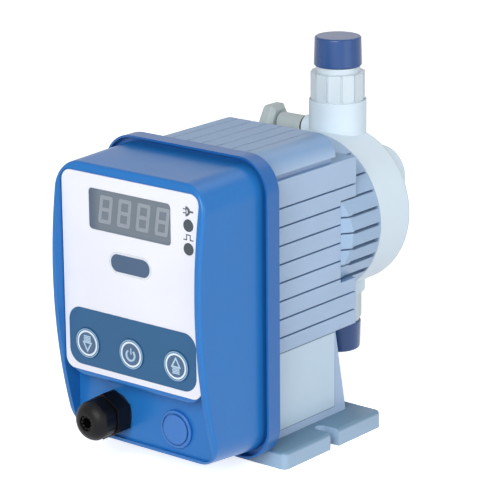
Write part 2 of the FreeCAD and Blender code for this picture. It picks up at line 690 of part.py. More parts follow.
def finned_housing():
    """Ribbed body, open at the front, with a round pocket for the drum at the rear."""
    half_x = BODY_WIDTH / 2
    outline = body_outline(half_x, FOOT_THICKNESS, BODY_TOP, BODY_CORNER, BODY_FRONT)
    body = Part.Face(outline).extrude(Vec(0, BODY_REAR - BODY_FRONT, 0))
    body = body.cut(rear_slope_cut())
    body = body.cut(box(-half_x - 1, half_x + 1, BODY_REAR - TOP_SETBACK, BODY_REAR + 1,
                        WIDE_GROOVE_BOTTOM, BODY_TOP + 1))
    for side in (-1, 1):
        outer = side * (half_x + 1.0)
        inner = side * (half_x - NOTCH_WALL)
        body = body.cut(box(min(outer, inner), max(outer, inner), DRUM_FRONT, BODY_REAR + 1,
                            AXIS_Z - NOTCH_DROP, AXIS_Z + NOTCH_RISE))
    body = body.cut(disc_y(DRUM_RADIUS + DRUM_POCKET_GAP, DRUM_FRONT, BODY_REAR + 1))
    body = body.cut(body_grooves())
    cavity = rounded_plate(half_x - BODY_WALL, FOOT_THICKNESS + BODY_WALL, BODY_TOP - BODY_WALL - GROOVE_DEPTH,
                           BODY_CORNER - 3.0, BODY_FRONT - 1.0, YOKE_BACK)
    body = body.cut(cavity)
    body = body.cut(disc_y(POLE_SPIGOT_RADIUS + PART_GAP, YOKE_BACK - 1, DRUM_FRONT + 1))
    for x, z in rim_screw_places():
        end = BODY_FRONT + RIM_SCREW_LENGTH
        body = body.cut(disc_y(RIM_SCREW_RADIUS + SCREW_GAP, BODY_FRONT - 1, end, x, z))
    for x, z in drum_screw_places():
        body = body.cut(disc_y(DRUM_SCREW_RADIUS + SCREW_GAP, YOKE_BACK - 1, DRUM_FRONT + 1, x, z))
    for x, y in foot_screw_places():
        end = FOOT_THICKNESS + FOOT_SCREW_GRIP + 1
        body = body.cut(disc_z(FOOT_SCREW_RADIUS + SCREW_GAP, FOOT_THICKNESS - 1, end, x, y))
    return body


def rim_window(y0, y1):
    """Opening through the rim and the gasket."""
    return rounded_plate(RIM_WINDOW_WIDTH / 2, RIM_BOTTOM + RIM_WINDOW_MARGIN, RIM_TOP - RIM_WINDOW_MARGIN,
                         BODY_CORNER, y0, y1)


def cover_screw_places():
    return [(sx * COVER_SCREW_X, z) for sx in (-1, 1) for z in (COVER_SCREW_LOW_Z, COVER_SCREW_HIGH_Z)]


def housing_rim():
    """Blue frame with a thin lip that stands clear of the cover."""
    half_x = RIM_WIDTH / 2
    rim = rounded_plate(half_x, RIM_BOTTOM, RIM_TOP, RIM_CORNER, RIM_FRONT, RIM_BACK)
    rim = round_edges(rim, RIM_EDGE_ROUND, lambda e: on_plane(e, 1, RIM_BACK))
    pocket = rounded_plate(half_x - RIM_LIP_WALL, RIM_BOTTOM + RIM_LIP_WALL, RIM_TOP - RIM_LIP_WALL,
                           RIM_CORNER - RIM_LIP_WALL, RIM_FRONT - 1.0, COVER_BACK)
    rim = rim.cut(pocket).cut(rim_window(RIM_FRONT, RIM_BACK + 1))
    for x, z in cover_screw_places():
        rim = rim.cut(disc_y(COVER_SCREW_RADIUS + SCREW_GAP, COVER_BACK - 1, RIM_BACK + 1, x, z))
    for x, z in rim_screw_places():
        rim = rim.cut(disc_y(RIM_SCREW_RADIUS + SCREW_GAP, COVER_BACK - 1, RIM_BACK + 1, x, z))
    return rim


def rim_gasket():
    """Flat gasket between the rim and the body."""
    inset = 0.6
    bottom = max(FOOT_THICKNESS + inset, RIM_BOTTOM)
    sheet = Part.Face(body_outline(BODY_WIDTH / 2 - inset, bottom, BODY_TOP - inset, BODY_CORNER, RIM_BACK))
    sheet = sheet.extrude(Vec(0, GASKET_THICKNESS, 0))
    sheet = sheet.cut(rim_window(RIM_BACK - 1, BODY_FRONT + 1))
    for x, z in rim_screw_places():
        sheet = sheet.cut(disc_y(RIM_SCREW_RADIUS + SCREW_GAP, RIM_BACK - 1, BODY_FRONT + 1, x, z))
    return sheet


def cover_screws():
    """Four screws from behind the rim into the cover's bosses."""
    places = cover_screw_places()
    length = COVER_SCREW_LENGTH
    return Part.makeCompound([pan_screw_y(COVER_SCREW_RADIUS, COVER_SCREW_HEAD, length, RIM_BACK, -1, x, z)
                              for x, z in places])


def rim_screws():
    """Four screws from inside the cover through the rim into the body."""
    places = rim_screw_places()
    length = RIM_DEPTH - RIM_LIP_DEPTH + GASKET_THICKNESS + RIM_SCREW_LENGTH - 2.0
    return Part.makeCompound([pan_screw_y(RIM_SCREW_RADIUS, RIM_SCREW_HEAD, length, COVER_BACK, 1, x, z)
                              for x, z in places])


def cover_taper(wall, length):
    """Tapered body of the cover, drawn in from its outside by a wall."""
    share = length / COVER_LENGTH
    back = rounded_outline(COVER_WIDTH / 2 - wall, COVER_BOTTOM + wall, COVER_TOP - wall,
                           COVER_CORNER - wall, COVER_BACK)
    front = rounded_outline(COVER_WIDTH / 2 - COVER_SIDE_DRAFT * share - wall,
                            COVER_BOTTOM + COVER_BOTTOM_RISE * share + wall,
                            COVER_TOP - COVER_TOP_FALL * share - wall,
                            COVER_CORNER - wall, COVER_BACK - length)
    return Part.makeLoft([back, front], True, True)


def arch_solid():
    """Very large round bar whose skin gives the cover's arched front edge."""
    apex_y = PANEL_Y - ARCH_PROUD
    half = COVER_WIDTH
    bar = Part.makeCylinder(ARCH_RADIUS, 2 * half, Vec(-half, apex_y + ARCH_RADIUS, ARCH_APEX_HEIGHT), X_DIR)
    return bar


def pocket_outline(y0, y1):
    """Space inside the cover's front walls."""
    return rounded_plate(POCKET_WIDTH / 2, POCKET_BOTTOM, POCKET_TOP, POCKET_CORNER, y0, y1)


def plateau():
    """Raised bed of the operating panel, with round lower corners and a soft edge."""
    half = POCKET_WIDTH / 2
    bed = rounded_plate(half, PLATEAU_BOTTOM, COVER_TOP, PLATEAU_CORNER, PLATEAU_Y, RECESS_WALL_BACK)
    return round_edges(bed, PLATEAU_EDGE_ROUND, lambda e: on_plane(e, 1, PLATEAU_Y))


def board_post_places():
    half = BOARD_WIDTH / 2 - BOARD_POST_MARGIN
    low = BOARD_BOTTOM + BOARD_POST_MARGIN
    high = BOARD_BOTTOM + BOARD_HEIGHT - BOARD_POST_MARGIN
    return [(sx * half, z) for sx in (-1, 1) for z in (low, high)]


def cover_interior():
    """Hollow of the cover behind its panel wall and its recess wall."""
    hollow = cover_taper(COVER_WALL, COVER_LENGTH)
    far = COVER_WIDTH
    hollow = hollow.cut(box(-far, far, COVER_BACK - COVER_LENGTH - 1, PANEL_WALL_BACK, -1, COVER_TOP + 1))
    step_z = PLATEAU_BOTTOM + COVER_WALL
    hollow = hollow.cut(box(-far, far, PANEL_WALL_BACK - 1, RECESS_WALL_BACK, -1, step_z))
    return hollow


def control_cover():
    """Moulded cover: tapered shell, arched edges, panel bed, recess, posts and bosses."""
    shell = cover_taper(0.0, COVER_LENGTH).common(arch_solid())
    shell = round_edges(shell, COVER_EDGE_ROUND, lambda e: e.BoundBox.YMax < COVER_BACK - COVER_LENGTH / 2)
    pocket = pocket_outline(COVER_FRONT - 1.0, RECESS_Y).cut(plateau())
    shell = shell.cut(pocket).cut(cover_interior())
    for x, z in cover_screw_places():
        boss = disc_y(COVER_BOSS_RADIUS, COVER_BACK - COVER_SCREW_LENGTH, COVER_BACK, x, z)
        shell = shell.fuse(boss)
    for x, z in board_post_places():
        shell = shell.fuse(disc_y(BOARD_POST_RADIUS, PANEL_WALL_BACK - 0.5, BOARD_FRONT, x, z))
    for x, z in cover_screw_places():
        depth = COVER_SCREW_LENGTH - RIM_DEPTH + RIM_LIP_DEPTH + 1.0
        shell = shell.cut(disc_y(COVER_SCREW_RADIUS + SCREW_GAP, COVER_BACK - depth, COVER_BACK + 1, x, z))
    for x, z in board_post_places():
        shell = shell.cut(disc_y(BOARD_SCREW_RADIUS + SCREW_GAP, PANEL_WALL_BACK, BOARD_FRONT + 1, x, z))
    shell = shell.cut(window_plate(WINDOW_GAP, PLATEAU_Y - 1, PANEL_WALL_BACK + 1))
    for z in LAMP_ZS:
        shell = shell.cut(disc_y(LAMP_RADIUS + SCREW_GAP, PLATEAU_Y - 1, PANEL_WALL_BACK + 1, LAMP_X, z))
    for x in KEY_XS:
        shell = shell.cut(disc_y(KEY_RADIUS + KEY_GAP, PLATEAU_Y - 1, KEY_WELL_Y, x, KEY_Z))
        shell = shell.cut(disc_y(KEY_STEM_RADIUS + KEY_STEM_GAP, PLATEAU_Y - 1, PANEL_WALL_BACK + 1, x, KEY_Z))
    for x, radius in ((-ENTRY_X, GLAND_THREAD_RADIUS), (ENTRY_X, PLUG_THREAD_RADIUS)):
        shell = shell.cut(disc_y(radius + ENTRY_HOLE_GAP, RECESS_Y - 1, RECESS_WALL_BACK + 1, x, ENTRY_Z))
    return shell.removeSplitter()


def window_plate(grow, y0, y1):
    half_height = WINDOW_HEIGHT / 2 + grow
    return rounded_plate(WINDOW_WIDTH / 2 + grow, WINDOW_CENTRE_Z - half_height, WINDOW_CENTRE_Z + half_height,
                         WINDOW_CORNER, y0, y1)


def membrane_panel():
    """White panel sheet with openings for the lens, the lamps and the keys."""
    sheet = rounded_plate(PANEL_WIDTH / 2, PANEL_BOTTOM, PANEL_TOP, PANEL_CORNER, PANEL_Y, PLATEAU_Y)
    sheet = sheet.cut(window_plate(SCREW_GAP, PANEL_Y - 1, PLATEAU_Y + 1))
    for z in LAMP_ZS:
        sheet = sheet.cut(disc_y(LAMP_RADIUS + SCREW_GAP, PANEL_Y - 1, PLATEAU_Y + 1, LAMP_X, z))
    for x in KEY_XS:
        sheet = sheet.cut(disc_y(KEY_RADIUS + KEY_GAP, PANEL_Y - 1, PLATEAU_Y + 1, x, KEY_Z))
    return sheet


def key_field():
    """Thin coloured field round the keys."""
    sheet = rounded_plate(FIELD_WIDTH / 2, FIELD_BOTTOM, FIELD_BOTTOM + FIELD_HEIGHT, FIELD_CORNER, FIELD_Y, PANEL_Y)
    for x in KEY_XS:
        sheet = sheet.cut(disc_y(KEY_RADIUS + KEY_GAP, FIELD_Y - 1, PANEL_Y + 1, x, KEY_Z))
    return sheet


def display_window():
    """Tinted lens, flush with the panel."""
    return window_plate(0.0, PANEL_Y, PANEL_Y + WINDOW_THICKNESS)


def display_module():
    """Four-digit display block on two rows of pins."""
    front = PANEL_Y + WINDOW_THICKNESS
    back = front + DISPLAY_DEPTH
    half_x = DISPLAY_WIDTH / 2
    half_z = DISPLAY_HEIGHT / 2
    block = box(-half_x, half_x, front, back, WINDOW_CENTRE_Z - half_z, WINDOW_CENTRE_Z + half_z)
    pin_half = half_x - DISPLAY_PIN_INSET
    rows = []
    for side in (-1, 1):
        z = WINDOW_CENTRE_Z + side * (half_z - DISPLAY_PIN_INSET)
        half = DISPLAY_PIN_THICKNESS / 2
        rows.append(box(-pin_half, pin_half, back, BOARD_FRONT, z - half, z + half))
    return join([block] + rows)


def indicator_lamps():
    """Two round lamps that stand through the panel."""
    lamps = []
    flange_y = PANEL_WALL_BACK + PART_GAP
    for z in LAMP_ZS:
        lens = disc_y(LAMP_RADIUS, PANEL_Y - LAMP_PROUD, flange_y + 1.0, LAMP_X, z)
        lens = round_edges(lens, LAMP_PROUD * 0.9, lambda e: on_plane(e, 1, PANEL_Y - LAMP_PROUD))
        flange = disc_y(LAMP_RADIUS + 0.7, flange_y, flange_y + 1.0, LAMP_X, z)
        stem = disc_y(LAMP_RADIUS - 0.6, flange_y + 1.0, BOARD_FRONT, LAMP_X, z)
        lamps.append(join([lens, flange, stem]))
    return Part.makeCompound(lamps)


def round_key(x):
    """Round key: cap, guided stem and the collar that keeps it in."""
    cap = disc_y(KEY_RADIUS, KEY_FACE_Y, KEY_CAP_BACK, x, KEY_Z)
    cap = round_edges(cap, KEY_PROUD * 0.6, lambda e: on_plane(e, 1, KEY_FACE_Y))
    collar_y = PANEL_WALL_BACK + KEY_SIDE_CLEARANCE
    collar = disc_y(KEY_COLLAR_RADIUS, collar_y, collar_y + KEY_COLLAR_THICKNESS, x, KEY_Z)
    stem_end = BOARD_FRONT - SWITCH_HEIGHT - SWITCH_BUTTON_HEIGHT - KEY_TRAVEL - KEY_SIDE_CLEARANCE
    stem = disc_y(KEY_STEM_RADIUS, KEY_CAP_BACK, stem_end, x, KEY_Z)
    return join([cap, collar, stem])


def tact_switches():
    """Small switches on the board, one behind each key."""
    switches = []
    half = SWITCH_SIZE / 2
    for x in KEY_XS:
        base = box(x - half, x + half, BOARD_FRONT - SWITCH_HEIGHT, BOARD_FRONT, KEY_Z - half, KEY_Z + half)
        top = BOARD_FRONT - SWITCH_HEIGHT
        button = disc_y(SWITCH_BUTTON_RADIUS, top - SWITCH_BUTTON_HEIGHT, top, x, KEY_Z)
        switches.append(join([base, button]))
    return Part.makeCompound(switches)


def control_board():
    """Circuit board on the cover's posts."""
    board = box(-BOARD_WIDTH / 2, BOARD_WIDTH / 2, BOARD_FRONT, BOARD_FRONT + BOARD_THICKNESS,
                BOARD_BOTTOM, BOARD_BOTTOM + BOARD_HEIGHT)
    end = BOARD_FRONT + BOARD_THICKNESS + 1
    for x, z in board_post_places():
        board = board.cut(disc_y(BOARD_SCREW_RADIUS + SCREW_GAP, BOARD_FRONT - 1, end, x, z))
    return board


def board_screws():
    """Four small screws that hold the board."""
    back = BOARD_FRONT + BOARD_THICKNESS
    length = BOARD_THICKNESS + BOARD_SCREW_DEPTH
    places = board_post_places()
    return Part.makeCompound([pan_screw_y(BOARD_SCREW_RADIUS, BOARD_SCREW_RADIUS * 1.9, length, back, -1, x, z)
                              for x, z in places])


def hex_along_y(flats, y0, y1, x, z, turn=0.0):
    return polygon_bar(flats, 6, y0, y1, Vec(x, 0, z), Y_DIR, turn)


def gland_seal():
    """Flat seal between the recess wall and the gland."""
    return ring_y(GLAND_NUT_RADIUS, GLAND_THREAD_RADIUS + ENTRY_HOLE_GAP, RECESS_Y - GLAND_SEAL_THICKNESS, RECESS_Y,
                  -ENTRY_X, ENTRY_Z)


def gland_body():
    """Hexagonal base, thread through the wall, and the neck under the nut."""
    hex_back = RECESS_Y - GLAND_SEAL_THICKNESS
    hex_front = hex_back - GLAND_HEX_LENGTH
    neck_front = hex_front - GLAND_NECK_LENGTH - GLAND_NUT_LENGTH * 0.6
    thread_end = RECESS_WALL_BACK + GLAND_LOCKNUT_THICKNESS + 2.0
    hexagon = hex_along_y(GLAND_HEX, hex_front, hex_back, -ENTRY_X, ENTRY_Z)
    neck = disc_y(GLAND_NECK_RADIUS, neck_front, hex_front, -ENTRY_X, ENTRY_Z)
    thread = disc_y(GLAND_THREAD_RADIUS, hex_back, thread_end, -ENTRY_X, ENTRY_Z)
    bore = disc_y(GLAND_BODY_BORE, neck_front - 1, thread_end + 1, -ENTRY_X, ENTRY_Z)
    return join([hexagon, neck, thread]).cut(bore)


def gland_nut():
    """Domed nut with gripping flutes and a round cable mouth."""
    base = RECESS_Y - GLAND_SEAL_THICKNESS - GLAND_HEX_LENGTH - GLAND_NECK_LENGTH
    shoulder = base - GLAND_NUT_LENGTH
    tip = shoulder - GLAND_DOME_LENGTH
    mouth = GLAND_MOUTH_RADIUS
    dome_top = mouth + GLAND_MOUTH_LIP
    x = -ENTRY_X
    profile = [
        Vec(x, base, ENTRY_Z),
        Vec(x + GLAND_NUT_RADIUS, base, ENTRY_Z),
        Vec(x + GLAND_NUT_RADIUS, shoulder, ENTRY_Z),
    ]
    middle = Vec(x + GLAND_NUT_RADIUS * 0.88, shoulder - GLAND_DOME_LENGTH * 0.6, ENTRY_Z)
    edges = [Part.LineSegment(profile[0], profile[1]).toShape(), Part.LineSegment(profile[1], profile[2]).toShape()]
    edges.append(Part.Arc(profile[2], middle, Vec(x + dome_top, tip, ENTRY_Z)).toShape())
    edges.append(Part.LineSegment(Vec(x + dome_top, tip, ENTRY_Z), Vec(x, tip, ENTRY_Z)).toShape())
    edges.append(Part.LineSegment(Vec(x, tip, ENTRY_Z), profile[0]).toShape())
    nut = Part.Face(Part.Wire(edges)).revolve(Vec(x, 0, ENTRY_Z), Y_DIR, 360)
    nut = nut.cut(disc_y(GLAND_NECK_RADIUS + SCREW_GAP, shoulder + GLAND_NUT_LENGTH * 0.3, base + 1, x, ENTRY_Z))
    nut = nut.cut(disc_y(mouth, tip - 1, base + 1, x, ENTRY_Z))
    flats = 2 * GLAND_NUT_RADIUS * 0.93
    return nut.common(hex_along_y(flats, tip - 1, base + 1, x, ENTRY_Z).fuse(
        disc_y(GLAND_NUT_RADIUS * 0.97, tip - 1, base + 1, x, ENTRY_Z)))


def gland_locknut():
    """Nut behind the recess wall."""
    nut = hex_along_y(GLAND_LOCKNUT_HEX, RECESS_WALL_BACK, RECESS_WALL_BACK + GLAND_LOCKNUT_THICKNESS,
                      -ENTRY_X, ENTRY_Z, math.pi / 6)
    return nut.cut(disc_y(GLAND_THREAD_RADIUS + 0.02, RECESS_Y, RECESS_WALL_BACK + GLAND_LOCKNUT_THICKNESS + 1,
                          -ENTRY_X, ENTRY_Z))


def blanking_plug():
    """Round plug with a raised pad, closing the second entry."""
    front = RECESS_Y - PLUG_FLANGE
    flange = disc_y(PLUG_RADIUS, front, RECESS_Y, ENTRY_X, ENTRY_Z)
    flange = round_edges(flange, PLUG_FLANGE * 0.35, lambda e: on_plane(e, 1, front))
    pad = disc_y(PLUG_PAD_RADIUS, front - PLUG_PAD_HEIGHT, front, ENTRY_X, ENTRY_Z)
    pad = round_edges(pad, PLUG_PAD_HEIGHT * 0.5, lambda e: on_plane(e, 1, front - PLUG_PAD_HEIGHT))
    thread_end = RECESS_WALL_BACK + PLUG_NUT_THICKNESS + 1.5
    thread = disc_y(PLUG_THREAD_RADIUS, RECESS_Y, thread_end, ENTRY_X, ENTRY_Z)
    groove = ring_y(PLUG_PAD_RADIUS + PLUG_GROOVE_WIDTH, PLUG_PAD_RADIUS, front - 1, front + PLUG_GROOVE_DEPTH,
                    ENTRY_X, ENTRY_Z)
    return join([flange, pad, thread]).cut(groove)


def blanking_nut():
    """Nut that holds the blanking plug."""
    end = RECESS_WALL_BACK + PLUG_NUT_THICKNESS
    nut = hex_along_y(PLUG_NUT_HEX, RECESS_WALL_BACK, end, ENTRY_X, ENTRY_Z)
    return nut.cut(disc_y(PLUG_THREAD_RADIUS + 0.02, RECESS_Y, end + 1, ENTRY_X, ENTRY_Z))


def magnet_yoke():
    """Steel can round the coil."""
    can = disc_y(YOKE_RADIUS, YOKE_FRONT, YOKE_BACK)
    can = can.cut(disc_y(YOKE_RADIUS - YOKE_WALL, YOKE_FRONT - 1, YOKE_FLOOR_Y))
    can = can.cut(disc_y(POLE_SPIGOT_RADIUS + 0.02, YOKE_FLOOR_Y - 1, YOKE_BACK + 1))
    for x, z in drum_screw_places():
        can = can.cut(disc_y(DRUM_SCREW_RADIUS + SCREW_GAP, YOKE_FLOOR_Y - 1, YOKE_BACK + 1, x, z))
    return can


def yoke_plate():
    """Front plate of the can, with the opening for the armature."""
    outer = YOKE_RADIUS - YOKE_WALL - 0.02
    return ring_y(outer, BOBBIN_BORE + SCREW_GAP, YOKE_FRONT, YOKE_PLATE_BACK)


def coil_bobbin():
    """Flanged former of the coil."""
    start = YOKE_PLATE_BACK
    end = YOKE_FLOOR_Y
    core = BOBBIN_BORE + BOBBIN_CORE_WALL
    spool = join([
        disc_y(core, start, end),
        disc_y(BOBBIN_FLANGE_RADIUS, start, start + BOBBIN_FLANGE),
        disc_y(BOBBIN_FLANGE_RADIUS, end - BOBBIN_FLANGE, end),
    ])
    return spool.cut(disc_y(BOBBIN_BORE, start - 1, end + 1))


def coil_winding():
    """Copper winding on the former."""
    start = YOKE_PLATE_BACK + BOBBIN_FLANGE + WINDING_GAP
    end = YOKE_FLOOR_Y - BOBBIN_FLANGE - WINDING_GAP
    return ring_y(WINDING_RADIUS, BOBBIN_BORE + BOBBIN_CORE_WALL + WINDING_GAP, start, end)


def pole_piece():
    """Fixed core with a well for the spring and a spigot through the rear wall."""
    core = join([disc_y(POLE_RADIUS, POLE_FRONT, YOKE_FLOOR_Y), disc_y(POLE_SPIGOT_RADIUS, YOKE_FLOOR_Y, DRUM_FRONT)])
    core = core.cut(disc_y(POLE_WELL_RADIUS, POLE_FRONT - 1, WELL_FLOOR))
    core = core.cut(disc_y(ROD_RADIUS + 0.6, POLE_FRONT, DRUM_FRONT + 1))
    return core.cut(disc_y(BUSH_RADIUS, DRUM_FRONT - BUSH_LENGTH, DRUM_FRONT + 1))


def guide_bush():
    """Plain bearing of the push rod."""
    return ring_y(BUSH_RADIUS, ROD_RADIUS + ROD_GAP, DRUM_FRONT - BUSH_LENGTH, DRUM_FRONT)


def armature():
    """Moving core with a hole for the rod."""
    core = disc_y(BOBBIN_BORE - SLIDING_GAP, ARMATURE_FRONT, ARMATURE_BACK)
    return core.cut(disc_y(ROD_RADIUS + ROD_SEAT_GAP, ARMATURE_BACK - ROD_GRIP, ARMATURE_BACK + 1))


def push_rod():
    """Rod from the armature to the diaphragm's core."""
    return disc_y(ROD_RADIUS, ARMATURE_BACK - ROD_GRIP, HUB_START)


def stop_cap():
    """Stop that the armature rests near, on the can's front plate."""
    plate = disc_y(STOP_RADIUS, YOKE_FRONT - STOP_THICKNESS, YOKE_FRONT)
    boss = disc_y(STOP_BOSS_RADIUS, YOKE_FRONT, ARMATURE_FRONT - STOP_GAP)
    return join([plate, boss])


def return_spring():
    """Helical spring in the well of the fixed core."""
    start = ARMATURE_BACK + SPRING_WIRE / 2 + 0.05
    end = WELL_FLOOR - SPRING_WIRE / 2 - 0.05
    pitch = (end - start) / SPRING_TURNS
    path = Part.makeHelix(pitch, end - start, SPRING_RADIUS)
    section = Part.Wire(Part.makeCircle(SPRING_WIRE / 2, Vec(SPRING_RADIUS, 0, 0), Y_DIR))
    coil = Part.Wire(path).makePipeShell([section], True, True)
    coil.Placement = FreeCAD.Placement(Vec(0, start, AXIS_Z), FreeCAD.Rotation(Z_DIR, Y_DIR))
    return coil


def drum_slots():
    """Level slots in the drum: thin beside the body, open and widening downwards behind it."""
    far = DRUM_RADIUS + 1.0
    middle = (DRUM_SLOT_COUNT - 1) / 2
    tools = []
    for i in range(DRUM_SLOT_COUNT):
        step = i - middle
        z = AXIS_Z + DRUM_SLOT_RAISE + DRUM_SLOT_PITCH * step
        width = max(DRUM_SLOT_LEAST, DRUM_SLOT_WIDTH - DRUM_SLOT_WIDEN * step)
        wide = box(-far, far, DRUM_SLOT_START, DRUM_REAR - DRUM_SLOT_LAND, z - width / 2, z + width / 2)
        tools.append(wide.cut(disc_y(DRUM_CORE_RADIUS, DRUM_FRONT, DRUM_REAR)))
        fine = box(-far, far, DRUM_FRONT - 1, DRUM_SLOT_START + 0.5, z - GROOVE_WIDTH / 2, z + GROOVE_WIDTH / 2)
        tools.append(fine.cut(disc_y(DRUM_FINE_CORE_RADIUS, DRUM_FRONT - 2, DRUM_REAR)))
    return Part.makeCompound(tools)


def drum_shoulder_cut(side):
    """Wedge that brings the drum's front down to the side of the body."""
    start = BODY_WIDTH / 2
    far = DRUM_RADIUS + 1.0
    tall = 2 * DRUM_RADIUS
    slope_end = DRUM_FRONT + (far - start) / DRUM_SHOULDER_SLOPE
    points = [
        Vec(side * start, DRUM_FRONT, -tall / 2),
        Vec(side * far, slope_end, -tall / 2),
        Vec(side * far, DRUM_FRONT - 1.0, -tall / 2),
        Vec(side * start, DRUM_FRONT - 1.0, -tall / 2),
    ]
    wedge = Part.Face(Part.makePolygon(points + points[:1])).extrude(Vec(0, 0, tall))
    wedge.translate(Vec(0, 0, AXIS_Z))
    return wedge


def bolt_places():
    offsets = (-BOLT_OFFSET, BOLT_OFFSET)
    return [(x, AXIS_Z + z) for x in offsets for z in offsets]


def head_adapter():
    """Ribbed drum between the body and the pump head."""
    drum = disc_y(DRUM_RADIUS, DRUM_FRONT, DRUM_REAR)
    if BODY_WIDTH / 2 < DRUM_RADIUS:
        drum = drum.cut(drum_shoulder_cut(-1)).cut(drum_shoulder_cut(1))
    drum = drum.cut(drum_slots())
    drum = drum.cut(disc_y(CHAMBER_RADIUS, DRUM_FRONT + DRUM_FLOOR, BACKING_Y + 1))
    drum = drum.cut(disc_y(SEAT_POCKET_RADIUS, BACKING_Y, DRUM_REAR + 1))
    drum = drum.cut(disc_y(ROD_RADIUS + 2.0, DRUM_FRONT - 1, DRUM_FRONT + DRUM_FLOOR + 1))
    for x, z in drum_screw_places():
        drum = drum.cut(disc_y(DRUM_SCREW_RADIUS + SCREW_GAP, DRUM_FRONT - 1, DRUM_FRONT + DRUM_FLOOR + 1, x, z))
    for x, z in bolt_places():
        drum = drum.cut(disc_y(BOLT_RADIUS + 0.02, DRUM_REAR - BOLT_GRIP - 1, DRUM_REAR + 1, x, z))
    return drum


def adapter_screws():
    """Four screws through the drum's floor and the body into the magnet can."""
    length = DRUM_FLOOR + BODY_REAR_WALL + YOKE_FLOOR - 0.5
    head_y = DRUM_FRONT + DRUM_FLOOR
    return Part.makeCompound([pan_screw_y(DRUM_SCREW_RADIUS, DRUM_SCREW_HEAD, length, head_y, -1, x, z)
                              for x, z in drum_screw_places()])


def backing_ring():
    """Ring that supports the diaphragm from behind."""
    return ring_y(DIAPHRAGM_RADIUS, BACKING_BORE, BACKING_Y, DIAPHRAGM_Y)


def diaphragm():
    """Flexible disc, clamped at its edge and bonded to its core, with one convolution."""
    sheet = ring_y(DIAPHRAGM_RADIUS, HUB_RADIUS + HUB_BOND_GAP, DIAPHRAGM_Y, DIAPHRAGM_BACK)
    middle = (CHAMBER_RADIUS + HUB_RADIUS) / 2
    groove = Part.makeTorus(middle, DIAPHRAGM_THICKNESS / 2, Vec(0, DIAPHRAGM_BACK + 0.4, AXIS_Z), Y_DIR)
    return sheet.cut(groove)


def diaphragm_hub():
    """Core of the diaphragm, on the end of the rod."""
    core = disc_y(HUB_RADIUS, HUB_START, HUB_END)
    return round_edges(core, HUB_FRONT * 0.8, lambda e: on_plane(e, 1, HUB_END))


def head_passages():
    """Flow passages and valve bores inside the pump head."""
    outlet_z = AXIS_Z + PASSAGE_OFFSET
    inlet_z = AXIS_Z - PASSAGE_OFFSET
    cross = CAGE_SLOT / 2
    reach = BALL_CHAMBER_RADIUS
    tools = [
        disc_y(SEAT_POCKET_RADIUS, DRUM_REAR - 1, DIAPHRAGM_BACK),
        disc_y(CHAMBER_RADIUS, DRUM_REAR - 1, CHAMBER_BACK),
        disc_y(PASSAGE_RADIUS, CHAMBER_BACK - 1, VALVE_Y, 0, outlet_z),
        disc_y(PASSAGE_RADIUS, CHAMBER_BACK - 1, VALVE_Y, 0, inlet_z),
        disc_z(PASSAGE_RADIUS, outlet_z - PASSAGE_RADIUS, OUTLET_BORE_BOTTOM + 1),
        disc_z(PASSAGE_RADIUS, INLET_STOP_Z - 1, inlet_z + PASSAGE_RADIUS),
        disc_z(VALVE_BORE_RADIUS, OUTLET_BORE_BOTTOM, OUTLET_BOSS_TOP + 1),
        disc_z(VALVE_BORE_RADIUS, INLET_BOSS_BOTTOM - 1, INLET_SEAT_TOP),
        disc_z(BALL_CHAMBER_RADIUS, INLET_SEAT_TOP - 1, INLET_STOP_Z),
        box(-reach, reach, VALVE_Y - cross, VALVE_Y + cross, INLET_STOP_Z - 1, INLET_STOP_Z + CAGE_SLOT),
        box(-cross, cross, VALVE_Y - reach, VALVE_Y + reach, INLET_STOP_Z - 1, INLET_STOP_Z + CAGE_SLOT),
        disc_x(BLEED_ARM_RADIUS + BLEED_ARM_CLEARANCE, -HEAD_RADIUS - 1, -BLEED_BOSS_END),
        disc_z(COLLAR_RADIUS + COLLAR_GAP, OUTLET_BOSS_TOP - COLLAR_SINK, OUTLET_BOSS_TOP + 1),
        disc_x(BLEED_WELL_RADIUS, -BLEED_BOSS_END - 1, -BLEED_WELL_END),
        disc_x(BLEED_PORT_RADIUS, -BLEED_WELL_END - 1, 0),
    ]
    for x, z in bolt_places():
        tools.append(disc_y(BOLT_RADIUS + BOLT_GAP, DRUM_REAR - 1, BLOCK_BACK + 1, x, z))
        tools.append(disc_y(BOLT_HEAD_RADIUS + BOLT_GAP, BLOCK_BACK - BOLT_HEAD_HEIGHT - 1, BLOCK_BACK + 1, x, z))
    return Part.makeCompound(tools)


def pump_head():
    """Round head with a raised block, outlet and inlet bosses and a bleed boss."""
    disc = disc_y(HEAD_RADIUS, DRUM_REAR, HEAD_BACK)
    disc = round_edges(disc, HEAD_FRONT_ROUND, lambda e: on_plane(e, 1, DRUM_REAR))
    disc = round_edges(disc, HEAD_REAR_ROUND, lambda e: on_plane(e, 1, HEAD_BACK))
    half = BLOCK_SIZE / 2
    block = rounded_plate(half, AXIS_Z - half, AXIS_Z + half, BLOCK_CORNER, DRUM_REAR + HEAD_FRONT_ROUND, BLOCK_BACK)
    block = round_edges(block, BLOCK_EDGE_ROUND, lambda e: on_plane(e, 1, BLOCK_BACK))
    outlet_boss = disc_z(OUTLET_BOSS_RADIUS, AXIS_Z, OUTLET_BOSS_TOP)
    outlet_boss = round_edges(outlet_boss, COLLAR_GAP, lambda e: on_plane(e, 2, OUTLET_BOSS_TOP))
    inlet_boss = disc_z(INLET_BOSS_RADIUS, INLET_BOSS_BOTTOM, AXIS_Z)
    inlet_boss = round_edges(inlet_boss, 0.8, lambda e: on_plane(e, 2, INLET_BOSS_BOTTOM))
    bleed_boss = disc_x(BLEED_BOSS_RADIUS, -BLEED_BOSS_END, 0)
    head = disc.fuse([block, outlet_boss, inlet_boss, bleed_boss])
    return head.cut(head_passages())


